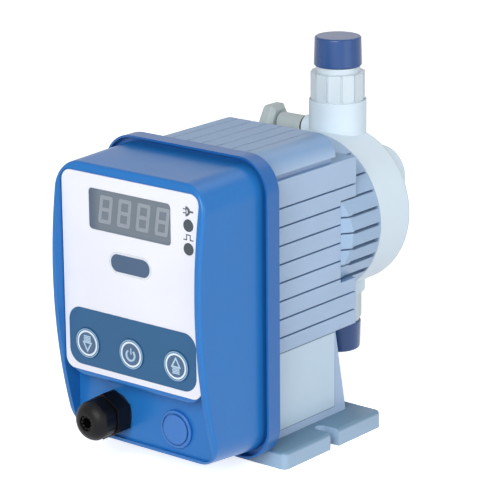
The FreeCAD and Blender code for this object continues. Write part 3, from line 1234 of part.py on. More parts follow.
def head_bolts():
    """Four socket-head bolts through the head into the drum."""
    bolts = []
    head_y = BLOCK_BACK - BOLT_HEAD_HEIGHT - 1
    for x, z in bolt_places():
        cap = disc_y(BOLT_HEAD_RADIUS, head_y, head_y + BOLT_HEAD_HEIGHT, x, z)
        socket = hex_along_y(BOLT_SOCKET, head_y + BOLT_HEAD_HEIGHT * 0.4, head_y + BOLT_HEAD_HEIGHT + 1, x, z)
        shank = disc_y(BOLT_RADIUS, DRUM_REAR - BOLT_GRIP, head_y, x, z)
        bolts.append(join([cap, shank]).cut(socket))
    return Part.makeCompound(bolts)


def valve_seat(bottom):
    """Seat ring under a valve ball."""
    ring = disc_z(VALVE_BORE_RADIUS - VALVE_FIT, bottom, bottom + SEAT_THICKNESS)
    return ring.cut(disc_z(SEAT_BORE, bottom - 1, bottom + SEAT_THICKNESS + 1))


def valve_ball(z):
    """Ball of a non-return valve."""
    return Part.makeSphere(BALL_RADIUS, Vec(0, VALVE_Y, z))


def seal_ring(z):
    """Round seal in the groove of a fitting's shank."""
    return Part.makeTorus(VALVE_BORE_RADIUS - VALVE_FIT - SEAL_WIRE, SEAL_WIRE, Vec(0, VALVE_Y, z), Z_DIR)


def seal_groove(z):
    """Groove that holds the round seal."""
    outer = VALVE_BORE_RADIUS + 1
    inner = VALVE_BORE_RADIUS - VALVE_FIT - 2 * SEAL_WIRE
    return disc_z(outer, z - SEAL_WIRE, z + SEAL_WIRE).cut(disc_z(inner, z - SEAL_WIRE - 1, z + SEAL_WIRE + 1))


def threaded_stub(z0, z1, open_end):
    """Outer thread cylinder with a chamfered free end."""
    stub = disc_z(PORT_THREAD_RADIUS, z0, z1)
    edges = [edge for edge in stub.Edges if on_plane(edge, 2, open_end)]
    return stub.makeChamfer(PORT_CHAMFER, edges)


def outlet_cage():
    """Cage over the outlet ball, with a cross of flow slots and the way to the bleed valve."""
    cage = disc_z(VALVE_BORE_RADIUS - VALVE_FIT, OUTLET_SEAT_TOP, OUTLET_CAGE_TOP)
    cage = cage.cut(disc_z(BALL_CHAMBER_RADIUS, OUTLET_SEAT_TOP - 1, OUTLET_STOP_Z))
    cage = cage.cut(disc_z(SEAT_BORE, OUTLET_STOP_Z - 1, OUTLET_CAGE_TOP + 1))
    cross = CAGE_SLOT / 2
    reach = BALL_CHAMBER_RADIUS
    cage = cage.cut(box(-reach, reach, VALVE_Y - cross, VALVE_Y + cross, OUTLET_STOP_Z - 1, OUTLET_CAGE_TOP + 1))
    cage = cage.cut(box(-cross, cross, VALVE_Y - reach, VALVE_Y + reach, OUTLET_STOP_Z - 1, OUTLET_CAGE_TOP + 1))
    return cage.cut(disc_x(BLEED_PORT_RADIUS, -VALVE_BORE_RADIUS - 1, 0))


def outlet_fitting():
    """Upper connection: shank, collar, faceted grip, ring and threaded stub."""
    collar_top = OUTLET_BOSS_TOP + OUTLET_COLLAR_HEIGHT
    shank = disc_z(VALVE_BORE_RADIUS - VALVE_FIT, OUTLET_CAGE_TOP, OUTLET_BOSS_TOP)
    collar = disc_z(COLLAR_RADIUS, OUTLET_BOSS_TOP - COLLAR_SINK, collar_top)
    grip = polygon_bar(OUTLET_FACET_FLATS, FACET_COUNT, collar_top, OUTLET_RING_Z, Vec(0, VALVE_Y, 0), Z_DIR)
    ring = disc_z(RING_RADIUS, OUTLET_RING_Z, OUTLET_STUB_Z)
    stub_top = OUTLET_STUB_Z + PORT_THREAD_LENGTH
    stub = threaded_stub(OUTLET_STUB_Z, stub_top, stub_top)
    fitting = join([shank, collar, grip, ring, stub])
    fitting = fitting.cut(disc_z(PORT_BORE_RADIUS, OUTLET_CAGE_TOP - 1, stub_top + 1))
    return fitting.cut(seal_groove(OUTLET_BOSS_TOP - SEAL_BELOW_RIM))


def inlet_fitting():
    """Lower connection: shank under the seat, faceted grip, ring and threaded stub."""
    shank = disc_z(VALVE_BORE_RADIUS - VALVE_FIT, INLET_BOSS_BOTTOM, INLET_SEAT_Z)
    collar = disc_z(INLET_FACET_FLATS / 2, INLET_BOSS_BOTTOM - OUTLET_COLLAR_HEIGHT, INLET_BOSS_BOTTOM)
    grip = polygon_bar(INLET_FACET_FLATS, FACET_COUNT, INLET_RING_Z, INLET_BOSS_BOTTOM - OUTLET_COLLAR_HEIGHT,
                       Vec(0, VALVE_Y, 0), Z_DIR)
    ring = disc_z(RING_RADIUS, INLET_STUB_Z, INLET_RING_Z)
    stub_bottom = INLET_STUB_Z - PORT_THREAD_LENGTH
    stub = threaded_stub(stub_bottom, INLET_STUB_Z, stub_bottom)
    fitting = join([shank, collar, grip, ring, stub])
    fitting = fitting.cut(disc_z(PORT_BORE_RADIUS, stub_bottom - 1, INLET_SEAT_Z + 1))
    return fitting.cut(seal_groove(INLET_BOSS_BOTTOM + SEAL_BELOW_RIM))


def push_on_cap(mouth_z, upward):
    """Slightly tapered cap that covers a threaded stub; its mouth is at mouth_z."""
    closed_z = mouth_z + upward * CAP_LENGTH
    cap = Part.makeCone(CAP_RADIUS, CAP_RADIUS - CAP_TAPER, CAP_LENGTH, Vec(0, VALVE_Y, mouth_z), Z_DIR * upward)
    cap = round_edges(cap, CAP_EDGE_ROUND, lambda e: on_plane(e, 2, closed_z))
    cap = cap.makeChamfer(CAP_CHAMFER, [edge for edge in cap.Edges if on_plane(edge, 2, mouth_z)])
    floor_z = closed_z - upward * CAP_TOP_WALL
    mouth_end = mouth_z - upward
    return cap.cut(disc_z(PORT_THREAD_RADIUS + CAP_GAP, min(floor_z, mouth_end), max(floor_z, mouth_end)))


def bleed_o_ring():
    """Black seal in the seam of the bleed valve."""
    middle = Vec(-BLEED_BOSS_END - BLEED_SEAL_WIRE, VALVE_Y, BLEED_Z)
    return Part.makeTorus(BLEED_SEAL_RADIUS, BLEED_SEAL_WIRE, middle, X_DIR)


def bleed_body():
    """Arm of the bleed valve, screwed into its boss."""
    arm = disc_x(BLEED_ARM_RADIUS, -BLEED_ARM_END, -BLEED_ARM_START)
    arm = round_edges(arm, 0.8, lambda e: on_plane(e, 0, -BLEED_ARM_END))
    shank = disc_x(BLEED_WELL_RADIUS - 0.02, -BLEED_ARM_START, -BLEED_SHANK_END)
    return join([arm, shank]).cut(disc_x(NEEDLE_RADIUS + NEEDLE_GAP, -BLEED_ARM_END - 1, -BLEED_SHANK_END + 1))


def bleed_needle():
    """Needle that closes the vent passage with its cone."""
    cone_length = NEEDLE_RADIUS * 1.2
    seat_share = (NEEDLE_RADIUS - BLEED_PORT_RADIUS) / (NEEDLE_RADIUS * 0.5)
    cone_x = -BLEED_WELL_END - NEEDLE_SEAT_GAP - cone_length * seat_share
    rear = -(KNOB_END - KNOB_WALL)
    stem = disc_x(NEEDLE_RADIUS, rear, cone_x)
    cone = Part.makeCone(NEEDLE_RADIUS, NEEDLE_RADIUS * 0.5, cone_length, Vec(cone_x, VALVE_Y, BLEED_Z), X_DIR)
    return join([stem, cone])


def bleed_knob():
    """Six-sided grip with wide chamfers, on the needle's free end."""
    base = Vec(0, VALVE_Y, BLEED_Z)
    grip = polygon_bar(KNOB_FLATS, 6, -KNOB_END, -KNOB_START, base, X_DIR)
    small = KNOB_END_RADIUS
    length = KNOB_LENGTH
    end = Vec(-KNOB_END, VALVE_Y, BLEED_Z)
    grip = grip.common(Part.makeCone(small, small + length, length, end, X_DIR))
    grip = grip.common(Part.makeCone(small + length, small, length, end, X_DIR))
    hole_end = -(KNOB_END - KNOB_WALL) - NEEDLE_GAP
    return grip.cut(disc_x(NEEDLE_RADIUS + NEEDLE_GAP, hole_end, -KNOB_START + 1))


PARTS = {
    "mounting_foot": mounting_foot,
    "foot_screws": foot_screws,
    "finned_housing": finned_housing,
    "housing_rim": housing_rim,
    "rim_gasket": rim_gasket,
    "cover_screws": cover_screws,
    "rim_screws": rim_screws,
    "control_cover": control_cover,
    "membrane_panel": membrane_panel,
    "key_field": key_field,
    "display_window": display_window,
    "display_module": display_module,
    "indicator_lamps": indicator_lamps,
    "key_down": lambda: round_key(-KEY_PITCH),
    "key_power": lambda: round_key(0.0),
    "key_up": lambda: round_key(KEY_PITCH),
    "tact_switches": tact_switches,
    "control_board": control_board,
    "board_screws": board_screws,
    "gland_seal": gland_seal,
    "gland_body": gland_body,
    "gland_nut": gland_nut,
    "gland_locknut": gland_locknut,
    "blanking_plug": blanking_plug,
    "blanking_nut": blanking_nut,
    "magnet_yoke": magnet_yoke,
    "yoke_plate": yoke_plate,
    "coil_bobbin": coil_bobbin,
    "coil_winding": coil_winding,
    "pole_piece": pole_piece,
    "guide_bush": guide_bush,
    "armature": armature,
    "push_rod": push_rod,
    "stop_cap": stop_cap,
    "return_spring": return_spring,
    "head_adapter": head_adapter,
    "adapter_screws": adapter_screws,
    "backing_ring": backing_ring,
    "diaphragm": diaphragm,
    "diaphragm_hub": diaphragm_hub,
    "pump_head": pump_head,
    "head_bolts": head_bolts,
    "outlet_seat": lambda: valve_seat(OUTLET_BORE_BOTTOM),
    "outlet_ball": lambda: valve_ball(OUTLET_BALL_Z),
    "outlet_cage": outlet_cage,
    "outlet_fitting": outlet_fitting,
    "outlet_o_ring": lambda: seal_ring(OUTLET_BOSS_TOP - SEAL_BELOW_RIM),
    "outlet_cap": lambda: push_on_cap(OUTLET_STUB_Z + CAP_SEAT_GAP, 1),
    "inlet_seat": lambda: valve_seat(INLET_SEAT_Z),
    "inlet_ball": lambda: valve_ball(INLET_BALL_Z),
    "inlet_fitting": inlet_fitting,
    "inlet_o_ring": lambda: seal_ring(INLET_BOSS_BOTTOM + SEAL_BELOW_RIM),
    "inlet_cap": lambda: push_on_cap(INLET_STUB_Z - CAP_SEAT_GAP, -1),
    "bleed_o_ring": bleed_o_ring,
    "bleed_body": bleed_body,
    "bleed_needle": bleed_needle,
    "bleed_knob": bleed_knob,
}

os.makedirs("parts", exist_ok=True)
for name, make in PARTS.items():
    shape = make()
    shape.exportStep("parts/" + name + ".step")
    print(name, "solids", len(shape.Solids), "valid", shape.isValid(), "volume", round(shape.Volume, 1))
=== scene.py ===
# %% [markdown]
# A chemical dosing pump, dressed in Blender.
# The imported model comes in first and stays where it is, as the frame.
# The cells below give its nodes their finish, add what it leaves out,
# and replace five of its nodes by finer pieces.

# %% Load the frame
import json
import math
from collections import namedtuple
import bpy
from mathutils import Matrix, Vector


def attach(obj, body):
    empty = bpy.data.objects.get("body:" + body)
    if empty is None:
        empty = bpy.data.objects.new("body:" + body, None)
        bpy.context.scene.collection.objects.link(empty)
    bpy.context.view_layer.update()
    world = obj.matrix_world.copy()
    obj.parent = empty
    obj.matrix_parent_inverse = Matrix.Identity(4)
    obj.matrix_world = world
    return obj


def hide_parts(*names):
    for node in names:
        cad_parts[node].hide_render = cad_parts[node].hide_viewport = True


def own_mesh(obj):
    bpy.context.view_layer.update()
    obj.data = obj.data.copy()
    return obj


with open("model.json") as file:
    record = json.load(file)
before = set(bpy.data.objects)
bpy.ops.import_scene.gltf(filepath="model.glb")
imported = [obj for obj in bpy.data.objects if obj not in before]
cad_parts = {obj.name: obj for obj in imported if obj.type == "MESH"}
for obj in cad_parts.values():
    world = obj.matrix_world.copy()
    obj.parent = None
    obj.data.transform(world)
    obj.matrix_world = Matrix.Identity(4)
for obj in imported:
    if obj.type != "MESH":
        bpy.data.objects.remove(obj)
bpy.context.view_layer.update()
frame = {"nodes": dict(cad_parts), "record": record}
MM = 0.001

# %% [markdown]
# New pieces sit on the frame's pieces, so their places are worked out from those and not typed in twice.
# This function gives the box of one node in mm, rounded to a thousandth.

# %% Boxes of the frame's nodes
Point = namedtuple("Point", "x y z")
Box = namedtuple("Box", "low middle high")


def box_of(node):
    corners = [vertex.co / MM for vertex in frame["nodes"][node].data.vertices]
    low = Point(*(round(min(corner[i] for corner in corners), 3) for i in range(3)))
    high = Point(*(round(max(corner[i] for corner in corners), 3) for i in range(3)))
    middle = Point(*((a + b) / 2 for a, b in zip(low, high)))
    return Box(low, middle, high)


print("panel in mm", box_of("membrane_panel"))

# %% [markdown]
# Colours are noted as a colour picker shows them, from 0 to 255.
# Shaders work with light instead, so one small function turns such a colour into its linear value.


# %% Turn picked colours into shader colours
def linear(value):
    share = value / 255
    return share / 12.92 if share <= 0.04045 else ((share + 0.055) / 1.055) ** 2.4


def shade(red, green, blue):
    return (linear(red), linear(green), linear(blue), 1.0)


def darker(colour, share):
    return tuple(channel * share for channel in colour[:3]) + (1.0,)


print("middle grey as light", [round(v, 2) for v in shade(128, 128, 128)])

# %% [markdown]
# A finish is a small tree of shader nodes.
# These functions each add one step of such a tree, so that the finishes below read as plain lists of steps.
# Every finish is kept under its name, and pieces ask for it by that name.

# %% Steps for finishes
NOISE_SPAN = (0.3, 0.7)
finish = {}


def nodes_of(name):
    """New finish: its node tree, its shader, and the place on the piece in metres."""
    material = bpy.data.materials.new(name)
    material.use_nodes = True
    finish[name] = material
    tree = material.node_tree
    place = tree.nodes.new("ShaderNodeTexCoord")
    return tree, tree.nodes["Principled BSDF"], place.outputs["Object"]


def feed(tree, entry, value):
    """Links an output to an input, or sets the input to a plain value."""
    if isinstance(value, bpy.types.NodeSocket):
        tree.links.new(value, entry)
    else:
        entry.default_value = value


def noise(tree, place, scale, detail):
    texture = tree.nodes.new("ShaderNodeTexNoise")
    texture.inputs["Scale"].default_value = scale
    texture.inputs["Detail"].default_value = detail
    tree.links.new(place, texture.inputs["Vector"])
    return texture.outputs["Fac"]


def remap(tree, source, span, reach, ends="SMOOTHSTEP"):
    """Turns the span of a value into another reach. The soft ends leave no contour lines."""
    scale = tree.nodes.new("ShaderNodeMapRange")
    scale.interpolation_type = ends
    for label, value in zip(("From Min", "From Max", "To Min", "To Max"), (*span, *reach)):
        scale.inputs[label].default_value = value
    tree.links.new(source, scale.inputs["Value"])
    return scale.outputs["Result"]


def spread(tree, source, low, high):
    """Stretches the middle of a noise over the range from low to high."""
    return remap(tree, source, NOISE_SPAN, (low, high))


def calculate(tree, operation, first, second):
    step = tree.nodes.new("ShaderNodeMath")
    step.operation = operation
    feed(tree, step.inputs[0], first)
    feed(tree, step.inputs[1], second)
    return step.outputs["Value"]


def mix_colours(tree, factor, first, second, blend="MIX"):
    mix = tree.nodes.new("ShaderNodeMix")
    mix.data_type = "RGBA"
    mix.blend_type = blend
    feed(tree, mix.inputs["Factor"], factor)
    feed(tree, mix.inputs["A"], first)
    feed(tree, mix.inputs["B"], second)
    return mix.outputs["Result"]


def split(tree, source):
    """The X, Y and Z of a place or a direction."""
    parts = tree.nodes.new("ShaderNodeSeparateXYZ")
    tree.links.new(source, parts.inputs["Vector"])
    return parts.outputs


def bump(tree, shader, height, distance, strength, edge):
    """Fine relief in mm on a surface whose sharp edges are shaded as if rounded by the edge radius."""
    relief = tree.nodes.new("ShaderNodeBump")
    relief.inputs["Distance"].default_value = distance * MM
    relief.inputs["Strength"].default_value = strength
    tree.links.new(height, relief.inputs["Height"])
    if edge > 0:
        soft = tree.nodes.new("ShaderNodeBevel")
        soft.samples = 4
        soft.inputs["Radius"].default_value = edge * MM
        tree.links.new(soft.outputs["Normal"], relief.inputs["Normal"])
    tree.links.new(relief.outputs["Normal"], shader.inputs["Normal"])


print("noise is stretched from", NOISE_SPAN)

# %% [markdown]
# Nearly all of this pump is moulded plastic, and moulded plastic is never one flat colour.
# Slow noise makes the pigment a little uneven and changes the gloss with it,
# and fine noise gives the grain of the steel mould.
# Some tops look deeper and cooler, as under the unlit ceiling of a studio,
# A finish can also have painted shade on its upward faces, as under the unlit ceiling of a studio.

# %% Moulded plastic
PIGMENT_SCALE = 28.0
PIGMENT_DETAIL = 3.0
GRAIN_SCALE = 1900.0
GRAIN_DETAIL = 2.0
GRAIN_DEPTH = 0.06
GLOSS_CHANGE = 0.02
TOP_STEEPNESS = 1.6


def painted_top_shade(tree, pigment, tone):
    """Painted shade: multiplies the pigment by a tone, the more so the more a face looks upwards."""
    facing = tree.nodes.new("ShaderNodeNewGeometry")
    upwards = split(tree, facing.outputs["Normal"])["Z"]
    steep = calculate(tree, "MULTIPLY", upwards, TOP_STEEPNESS)
    return mix_colours(tree, steep, pigment, tone, blend="MULTIPLY")


def plastic(name, colour, roughness, grain=0.25, uneven=0.03, edge=0.35, top=None, shine=0.5):
    tree, shader, place = nodes_of(name)
    shader.inputs["Specular IOR Level"].default_value = shine
    slow = noise(tree, place, PIGMENT_SCALE, PIGMENT_DETAIL)
    fine = noise(tree, place, GRAIN_SCALE, GRAIN_DETAIL)
    pigment = mix_colours(tree, spread(tree, slow, 0.0, 1.0), darker(colour, 1.0 - uneven), colour)
    # A top colour, when given, is painted shade on the upward faces.
    if top:
        pigment = painted_top_shade(tree, pigment, top)
    tree.links.new(pigment, shader.inputs["Base Color"])
    gloss = spread(tree, slow, roughness - GLOSS_CHANGE, roughness + GLOSS_CHANGE)
    tree.links.new(gloss, shader.inputs["Roughness"])
    bump(tree, shader, fine, GRAIN_DEPTH, grain, edge)


print("mould grain", GRAIN_DEPTH, "mm deep")

# %% [markdown]
# The display's window is a tinted lens.
# Its left and lower edge get painted shade: two soft steps from the lower left corner darken the tint there.
# This lens lets no light through, so the digits behind it are laid on its front later, as a thin layer.

# %% Tinted lens
WINDOW = box_of("display_window")
SHADE_ACROSS = (0.5, 8.5)
SHADE_UPWARDS = (-2.9, 2.1)
HAZE_SCALE = 60.0
HAZE_DETAIL = 2.0
HAZE = 0.05


def lens(name, colour, deep, roughness):
    tree, shader, place = nodes_of(name)
    parts = split(tree, place)
    across = remap(tree, parts["X"], [(WINDOW.low.x + v) * MM for v in SHADE_ACROSS], (0.0, 1.0))
    upwards = remap(tree, parts["Z"], [(WINDOW.low.z + v) * MM for v in SHADE_UPWARDS], (0.0, 1.0))
    # Painted shade: the tint darkens towards the window's left and lower edge.
    lit = calculate(tree, "MULTIPLY", across, upwards)
    tree.links.new(mix_colours(tree, lit, deep, colour), shader.inputs["Base Color"])
    haze = spread(tree, noise(tree, place, HAZE_SCALE, HAZE_DETAIL), roughness, roughness + HAZE)
    tree.links.new(haze, shader.inputs["Roughness"])


print("window's lower left corner", WINDOW.low.x, WINDOW.low.z, "mm")

# %% [markdown]
# The metal pieces are turned, ground or drawn.
# One fine noise stands for the marks of the tools: it changes tone, gloss and relief together.

# %% Metal
TOOL_SCALE = 900.0
TOOL_DETAIL = 4.0
TOOL_TONE = 0.85
TOOL_GLOSS = 0.08
TOOL_DEPTH = 0.03
TOOL_STRENGTH = 0.3
METAL_EDGE = 0.1


def metal(name, colour, roughness):
    tree, shader, place = nodes_of(name)
    fine = noise(tree, place, TOOL_SCALE, TOOL_DETAIL)
    tone = mix_colours(tree, spread(tree, fine, 0.0, 1.0), darker(colour, TOOL_TONE), colour)
    tree.links.new(tone, shader.inputs["Base Color"])
    gloss = spread(tree, fine, roughness - TOOL_GLOSS, roughness + TOOL_GLOSS)
    tree.links.new(gloss, shader.inputs["Roughness"])
    shader.inputs["Metallic"].default_value = 1.0
    bump(tree, shader, fine, TOOL_DEPTH, TOOL_STRENGTH, METAL_EDGE)


print("tool marks", TOOL_DEPTH, "mm deep")

# %% [markdown]
# The record names one material slot for each finish.
# Each slot gets its material here, and every node of the frame then takes the one its slot names.

# %% Finishes of all the slots
# Painted shade tones for the upward faces of the body and the foot.
BODY_TOP_SHADE = (0.58, 0.71, 0.84, 1.0)
FOOT_TOP_SHADE = (0.44, 0.57, 0.62, 1.0)
SLATE = shade(38, 89, 131)
plastic("cover_blue", shade(33, 110, 182), 0.3, edge=0.0, shine=0.3)
plastic("rim_blue", shade(24, 96, 166), 0.32, shine=0.4)
plastic("seal_black", shade(24, 25, 27), 0.6, grain=0.5)
plastic("panel_white", shade(226, 228, 238), 0.35, grain=0.1, shine=0.35)
plastic("field_slate", SLATE, 0.4, uneven=0.06, shine=0.3)
# The second colour is the painted shade at the window's left and lower edge.
lens("window_tint", shade(98, 110, 122), shade(66, 84, 106), 0.2)
plastic("display_dark", shade(58, 62, 68), 0.5)
plastic("lamp_lens", shade(50, 60, 70), 0.3, grain=0.0)
plastic("key_slate", SLATE, 0.4, uneven=0.06, shine=0.3)
plastic("switch_black", shade(28, 28, 30), 0.5)
plastic("board_green", shade(20, 92, 52), 0.3)
metal("screw_steel", shade(190, 192, 196), 0.32)
plastic("gland_black", shade(8, 8, 11), 0.45, grain=0.4, shine=0.2)
plastic("plug_blue", shade(44, 110, 184), 0.34)
plastic("body_grey", shade(166, 189, 217), 0.36, grain=0.35, uneven=0.06, top=BODY_TOP_SHADE, shine=0.3)
plastic("foot_grey", shade(146, 172, 196), 0.38, grain=0.35, uneven=0.06, top=FOOT_TOP_SHADE)
plastic("drum_grey", shade(156, 182, 211), 0.38, grain=0.35, uneven=0.06, shine=0.3)
metal("magnet_steel", shade(150, 150, 152), 0.45)
metal("rod_steel", shade(200, 201, 203), 0.22)
plastic("bobbin_white", shade(226, 225, 218), 0.5)
metal("copper", shade(190, 110, 70), 0.35)
metal("bush_bronze", shade(184, 148, 92), 0.4)
plastic("diaphragm_white", shade(232, 232, 226), 0.45)
plastic("head_white", shade(209, 225, 236), 0.4, grain=0.3, uneven=0.04)
plastic("fitting_white", shade(205, 218, 226), 0.34, grain=0.3, uneven=0.04)
plastic("ball_ceramic", shade(240, 240, 232), 0.15, grain=0.0)
plastic("cap_blue", shade(24, 70, 130), 0.26, grain=0.3)
plastic("knob_grey", shade(176, 188, 190), 0.4, grain=0.4)
node_slot = {row["node"]: row["material_slot"] for row in frame["record"]["subparts"]}
for node_name, cad_node in frame["nodes"].items():
    cad_node.data.materials.clear()
    cad_node.data.materials.append(finish[node_slot[node_name]])
print(len(finish), "finishes on", len(node_slot), "nodes")

# %% [markdown]
# New pieces are made the way a modeller works by hand.
# A primitive is added at its place and in its size, then shaped in edit mode.
# These small functions hold the steps that come back: start, choose edges, round them, give a finish, join.


# %% Steps for new pieces
def start_piece(name, add, **options):
    bpy.ops.object.select_all(action="DESELECT")
    add(**options)
    piece = bpy.context.object
    piece.name = name
    bpy.ops.object.transform_apply(location=True, rotation=True, scale=True)
    return piece


def open_edit(piece, chosen_edge=None):
    """Opens a piece in edit mode with all of it selected, or only the edges that pass a test."""
    bpy.ops.object.select_all(action="DESELECT")
    bpy.context.view_layer.objects.active = piece
    piece.select_set(True)
    bpy.ops.object.mode_set(mode="EDIT")
    bpy.ops.mesh.select_mode(type="EDGE")
    bpy.ops.mesh.select_all(action="DESELECT" if chosen_edge else "SELECT")
    if chosen_edge:
        bpy.ops.object.mode_set(mode="OBJECT")
        points = piece.data.vertices
        for edge in piece.data.edges:
            edge.select = chosen_edge(points[edge.vertices[0]].co, points[edge.vertices[1]].co)
        bpy.ops.object.mode_set(mode="EDIT")


def close_edit():
    bpy.ops.mesh.select_all(action="SELECT")
    bpy.ops.mesh.normals_make_consistent(inside=False)
    bpy.ops.object.mode_set(mode="OBJECT")


def round_edges(piece, width, segments, chosen_edge=None):
    """Rounds all edges of a piece, or those that pass a test. One segment makes a flat chamfer."""
    open_edit(piece, chosen_edge)
    bpy.ops.mesh.bevel(offset=width * MM, segments=segments, affect="EDGES")
    close_edit()


def give(piece, look, node):
    """Finish of a piece, and the body it moves with: that of a node of the frame."""
    piece.data.materials.clear()
    piece.data.materials.append(finish[look])
    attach(piece, body_of[node])
    return piece


def join_pieces(name, pieces):
    bpy.ops.object.select_all(action="DESELECT")
    for piece in pieces:
        piece.select_set(True)
    bpy.context.view_layer.objects.active = pieces[0]
    bpy.ops.object.join()
    pieces[0].name = name
    return pieces[0]


body_of = {}
for body_name, members in frame["record"]["behaviour"]["bodies"].items():
    for member in members:
        body_of[member] = body_name
print("nodes with a body", len(body_of))

# %% [markdown]
# Nearly all the marks on a control panel are thin flat layers: screen-printed ink or glued foil.
# Five shapes are enough for them: a plate with round corners, a ring with any number of sides,
# a disc, an arc swept by spinning a small square, and a bar at any slant.
# Their sizes and centres are in mm, and an ink layer is the unit of their depth.

# %% Flat shapes on the panel
INK = 0.04
PANEL_Y = box_of("membrane_panel").low.y
FACE_FRONT = math.pi / 2
ROUND_SIDES = 64


def plate(name, centre, size, corner, steps, axis=1):
    """Plate with the corners rounded that run along one axis."""
    piece = start_piece(name, bpy.ops.mesh.primitive_cube_add, size=MM,
                        location=Vector(centre) * MM, scale=size)
    depth = size[axis] * MM
    widest = 0.49 * min(size[i] for i in range(3) if i != axis)

    def runs_through(a, b):
        return abs((a - b)[axis]) > 0.5 * depth and (a - b).length < 1.01 * depth

    round_edges(piece, min(corner, widest), steps, runs_through)
    return piece


def ring(name, centre, outer, inner, depth, sides=ROUND_SIDES, turn=0.0):
    """Flat ring that faces -Y: a circle, extruded inwards and then thickened."""
    place = Vector(centre) * MM
    piece = start_piece(name, bpy.ops.mesh.primitive_circle_add, vertices=sides, radius=outer * MM,
                        location=place, rotation=(FACE_FRONT, turn, 0.0))
    open_edit(piece)
    bpy.ops.mesh.extrude_edges_move()
    share = inner / outer
    bpy.ops.transform.resize(value=(share, 1.0, share), center_override=place)
    bpy.ops.mesh.select_all(action="SELECT")
    bpy.ops.mesh.extrude_region_move(TRANSFORM_OT_translate={"value": (0.0, depth * MM, 0.0)})
    close_edit()
    return piece


def disc(name, centre, radius, depth, edge):
    """Round disc that faces -Y, with a softened front edge."""
    place = Vector(centre) * MM
    piece = start_piece(name, bpy.ops.mesh.primitive_cylinder_add, vertices=ROUND_SIDES, radius=radius * MM,
                        depth=depth * MM, location=place, rotation=(FACE_FRONT, 0.0, 0.0))
    front = place.y - 0.49 * depth * MM
    round_edges(piece, edge, 2, lambda a, b: a.y < front and b.y < front)
    return piece


def arc(name, centre, radius, width, depth, start, sweep):
    """Part of a ring: a small square spun about an axis along Y."""
    place = Vector(centre) * MM
    first = place + Vector((math.cos(start), 0.0, math.sin(start))) * radius * MM
    piece = start_piece(name, bpy.ops.mesh.primitive_plane_add, size=MM, location=first,
                        rotation=(0.0, -start, 0.0), scale=(width, depth, 1.0))
    open_edit(piece)
    bpy.ops.mesh.spin(steps=40, angle=sweep, center=place, axis=(0.0, 1.0, 0.0))
    close_edit()
    return piece


def bar(name, centre, length, width, depth, turn=0.0, corner=0.1):
    """Bar that faces -Y, turned in the plane of the panel, with rounded ends."""
    piece = start_piece(name, bpy.ops.mesh.primitive_cube_add, size=MM, location=Vector(centre) * MM,
                        rotation=(0.0, turn, 0.0), scale=(length, depth, width))
    round_edges(piece, corner, 4, lambda a, b: abs((a - b).y) > 0.9 * depth * MM)
    return piece


print("ink layer", INK, "mm on the panel at", PANEL_Y, "mm")

# %% [markdown]
# Four digits of seven segments stand behind the tinted lens.
# They are switched off, so all 28 segments show as the same pale grey.
# Here they lie on the front of the lens as two thin layers.
# The digits lean by eight degrees, as on nearly every display of this kind,
# so each upright segment is turned and the level ones are shifted with their height.
# The level segments lie half an ink layer further forward, so that no two faces share a plane.

# %% Display digits
DIGIT_COUNT = 4
DIGIT_PITCH = 12.7
DIGIT_LEAN = math.radians(8)
DIGIT_HEIGHT = 12.8
DIGIT_WIDTH = 6.6
SEGMENT_WIDTH = 2.0
LEVEL_LENGTH = DIGIT_WIDTH + 0.8 * SEGMENT_WIDTH
LEVEL_CORNER = 0.7
UPRIGHT_LENGTH = DIGIT_HEIGHT / 2
UPRIGHT_TURN = DIGIT_LEAN - math.pi / 2
UPRIGHT_CORNER = 0.45
DISPLAY_RIGHT = 3.0
DISPLAY_RISE = 0.7
plastic("segment_grey", shade(134, 142, 152), 0.35, grain=0.05, uneven=0.04, edge=0.05)


def segment(x, z, layer, length, turn, corner):
    """One segment. The lean shifts it sideways with its height over the digit's middle."""
    at = (x + z * math.tan(DIGIT_LEAN), layer, WINDOW.middle.z + DISPLAY_RISE + z)
    return bar("segment", at, length, SEGMENT_WIDTH, 2 * INK, turn, corner)


segments = []
for column in range(DIGIT_COUNT):
    digit_x = WINDOW.middle.x + DISPLAY_RIGHT + (column - (DIGIT_COUNT - 1) / 2) * DIGIT_PITCH
    for row in (-1, 0, 1):
        z = row * DIGIT_HEIGHT / 2
        segments.append(segment(digit_x, z, PANEL_Y - INK / 2, LEVEL_LENGTH, 0.0, LEVEL_CORNER))
    for row in (-1, 1):
        z = row * DIGIT_HEIGHT / 4
        for side in (-1, 1):
            x = digit_x + side * DIGIT_WIDTH / 2
            segments.append(segment(x, z, PANEL_Y, UPRIGHT_LENGTH, UPRIGHT_TURN, UPRIGHT_CORNER))
print(len(segments), "segments")
give(join_pieces("display_digits", segments), "segment_grey", "display_window")

# %% [markdown]
# The badge in the middle of the panel is a silver foil with a bare slate field.
# It could be one plate with two materials, but two thin plates keep the field's edge crisp.
# Both have round ends.

# %% Bare badge
BADGE_X = 0.0
BADGE_Z = 114.0
FOIL_SIZE = (29.0, 12.0)
FIELD_SIZE = (26.2, 9.4)
metal("silver_foil", shade(206, 210, 216), 0.4)
plastic("slate_ink", shade(58, 84, 114), 0.45, grain=0.1, uneven=0.08, edge=0.05)
for name, layer, (width, height), look in (("badge_foil", PANEL_Y, FOIL_SIZE, "silver_foil"),
                                           ("badge_field", PANEL_Y - INK, FIELD_SIZE, "slate_ink")):
    badge = plate(name, (BADGE_X, layer, BADGE_Z), (width, 2 * INK, height), height / 2, steps=16)
    give(badge, look, "membrane_panel")
    print(name, [round(v / MM, 1) for v in badge.dimensions])

# %% [markdown]
# Two small pictograms name the lamps without a word: a mains plug for power and a pulse for the strokes.
# They are screen-printed in one dark ink, in line with the lamps.
# The pulse is one line through six points. The plug is a half round shell with a face, two pins and a cord.

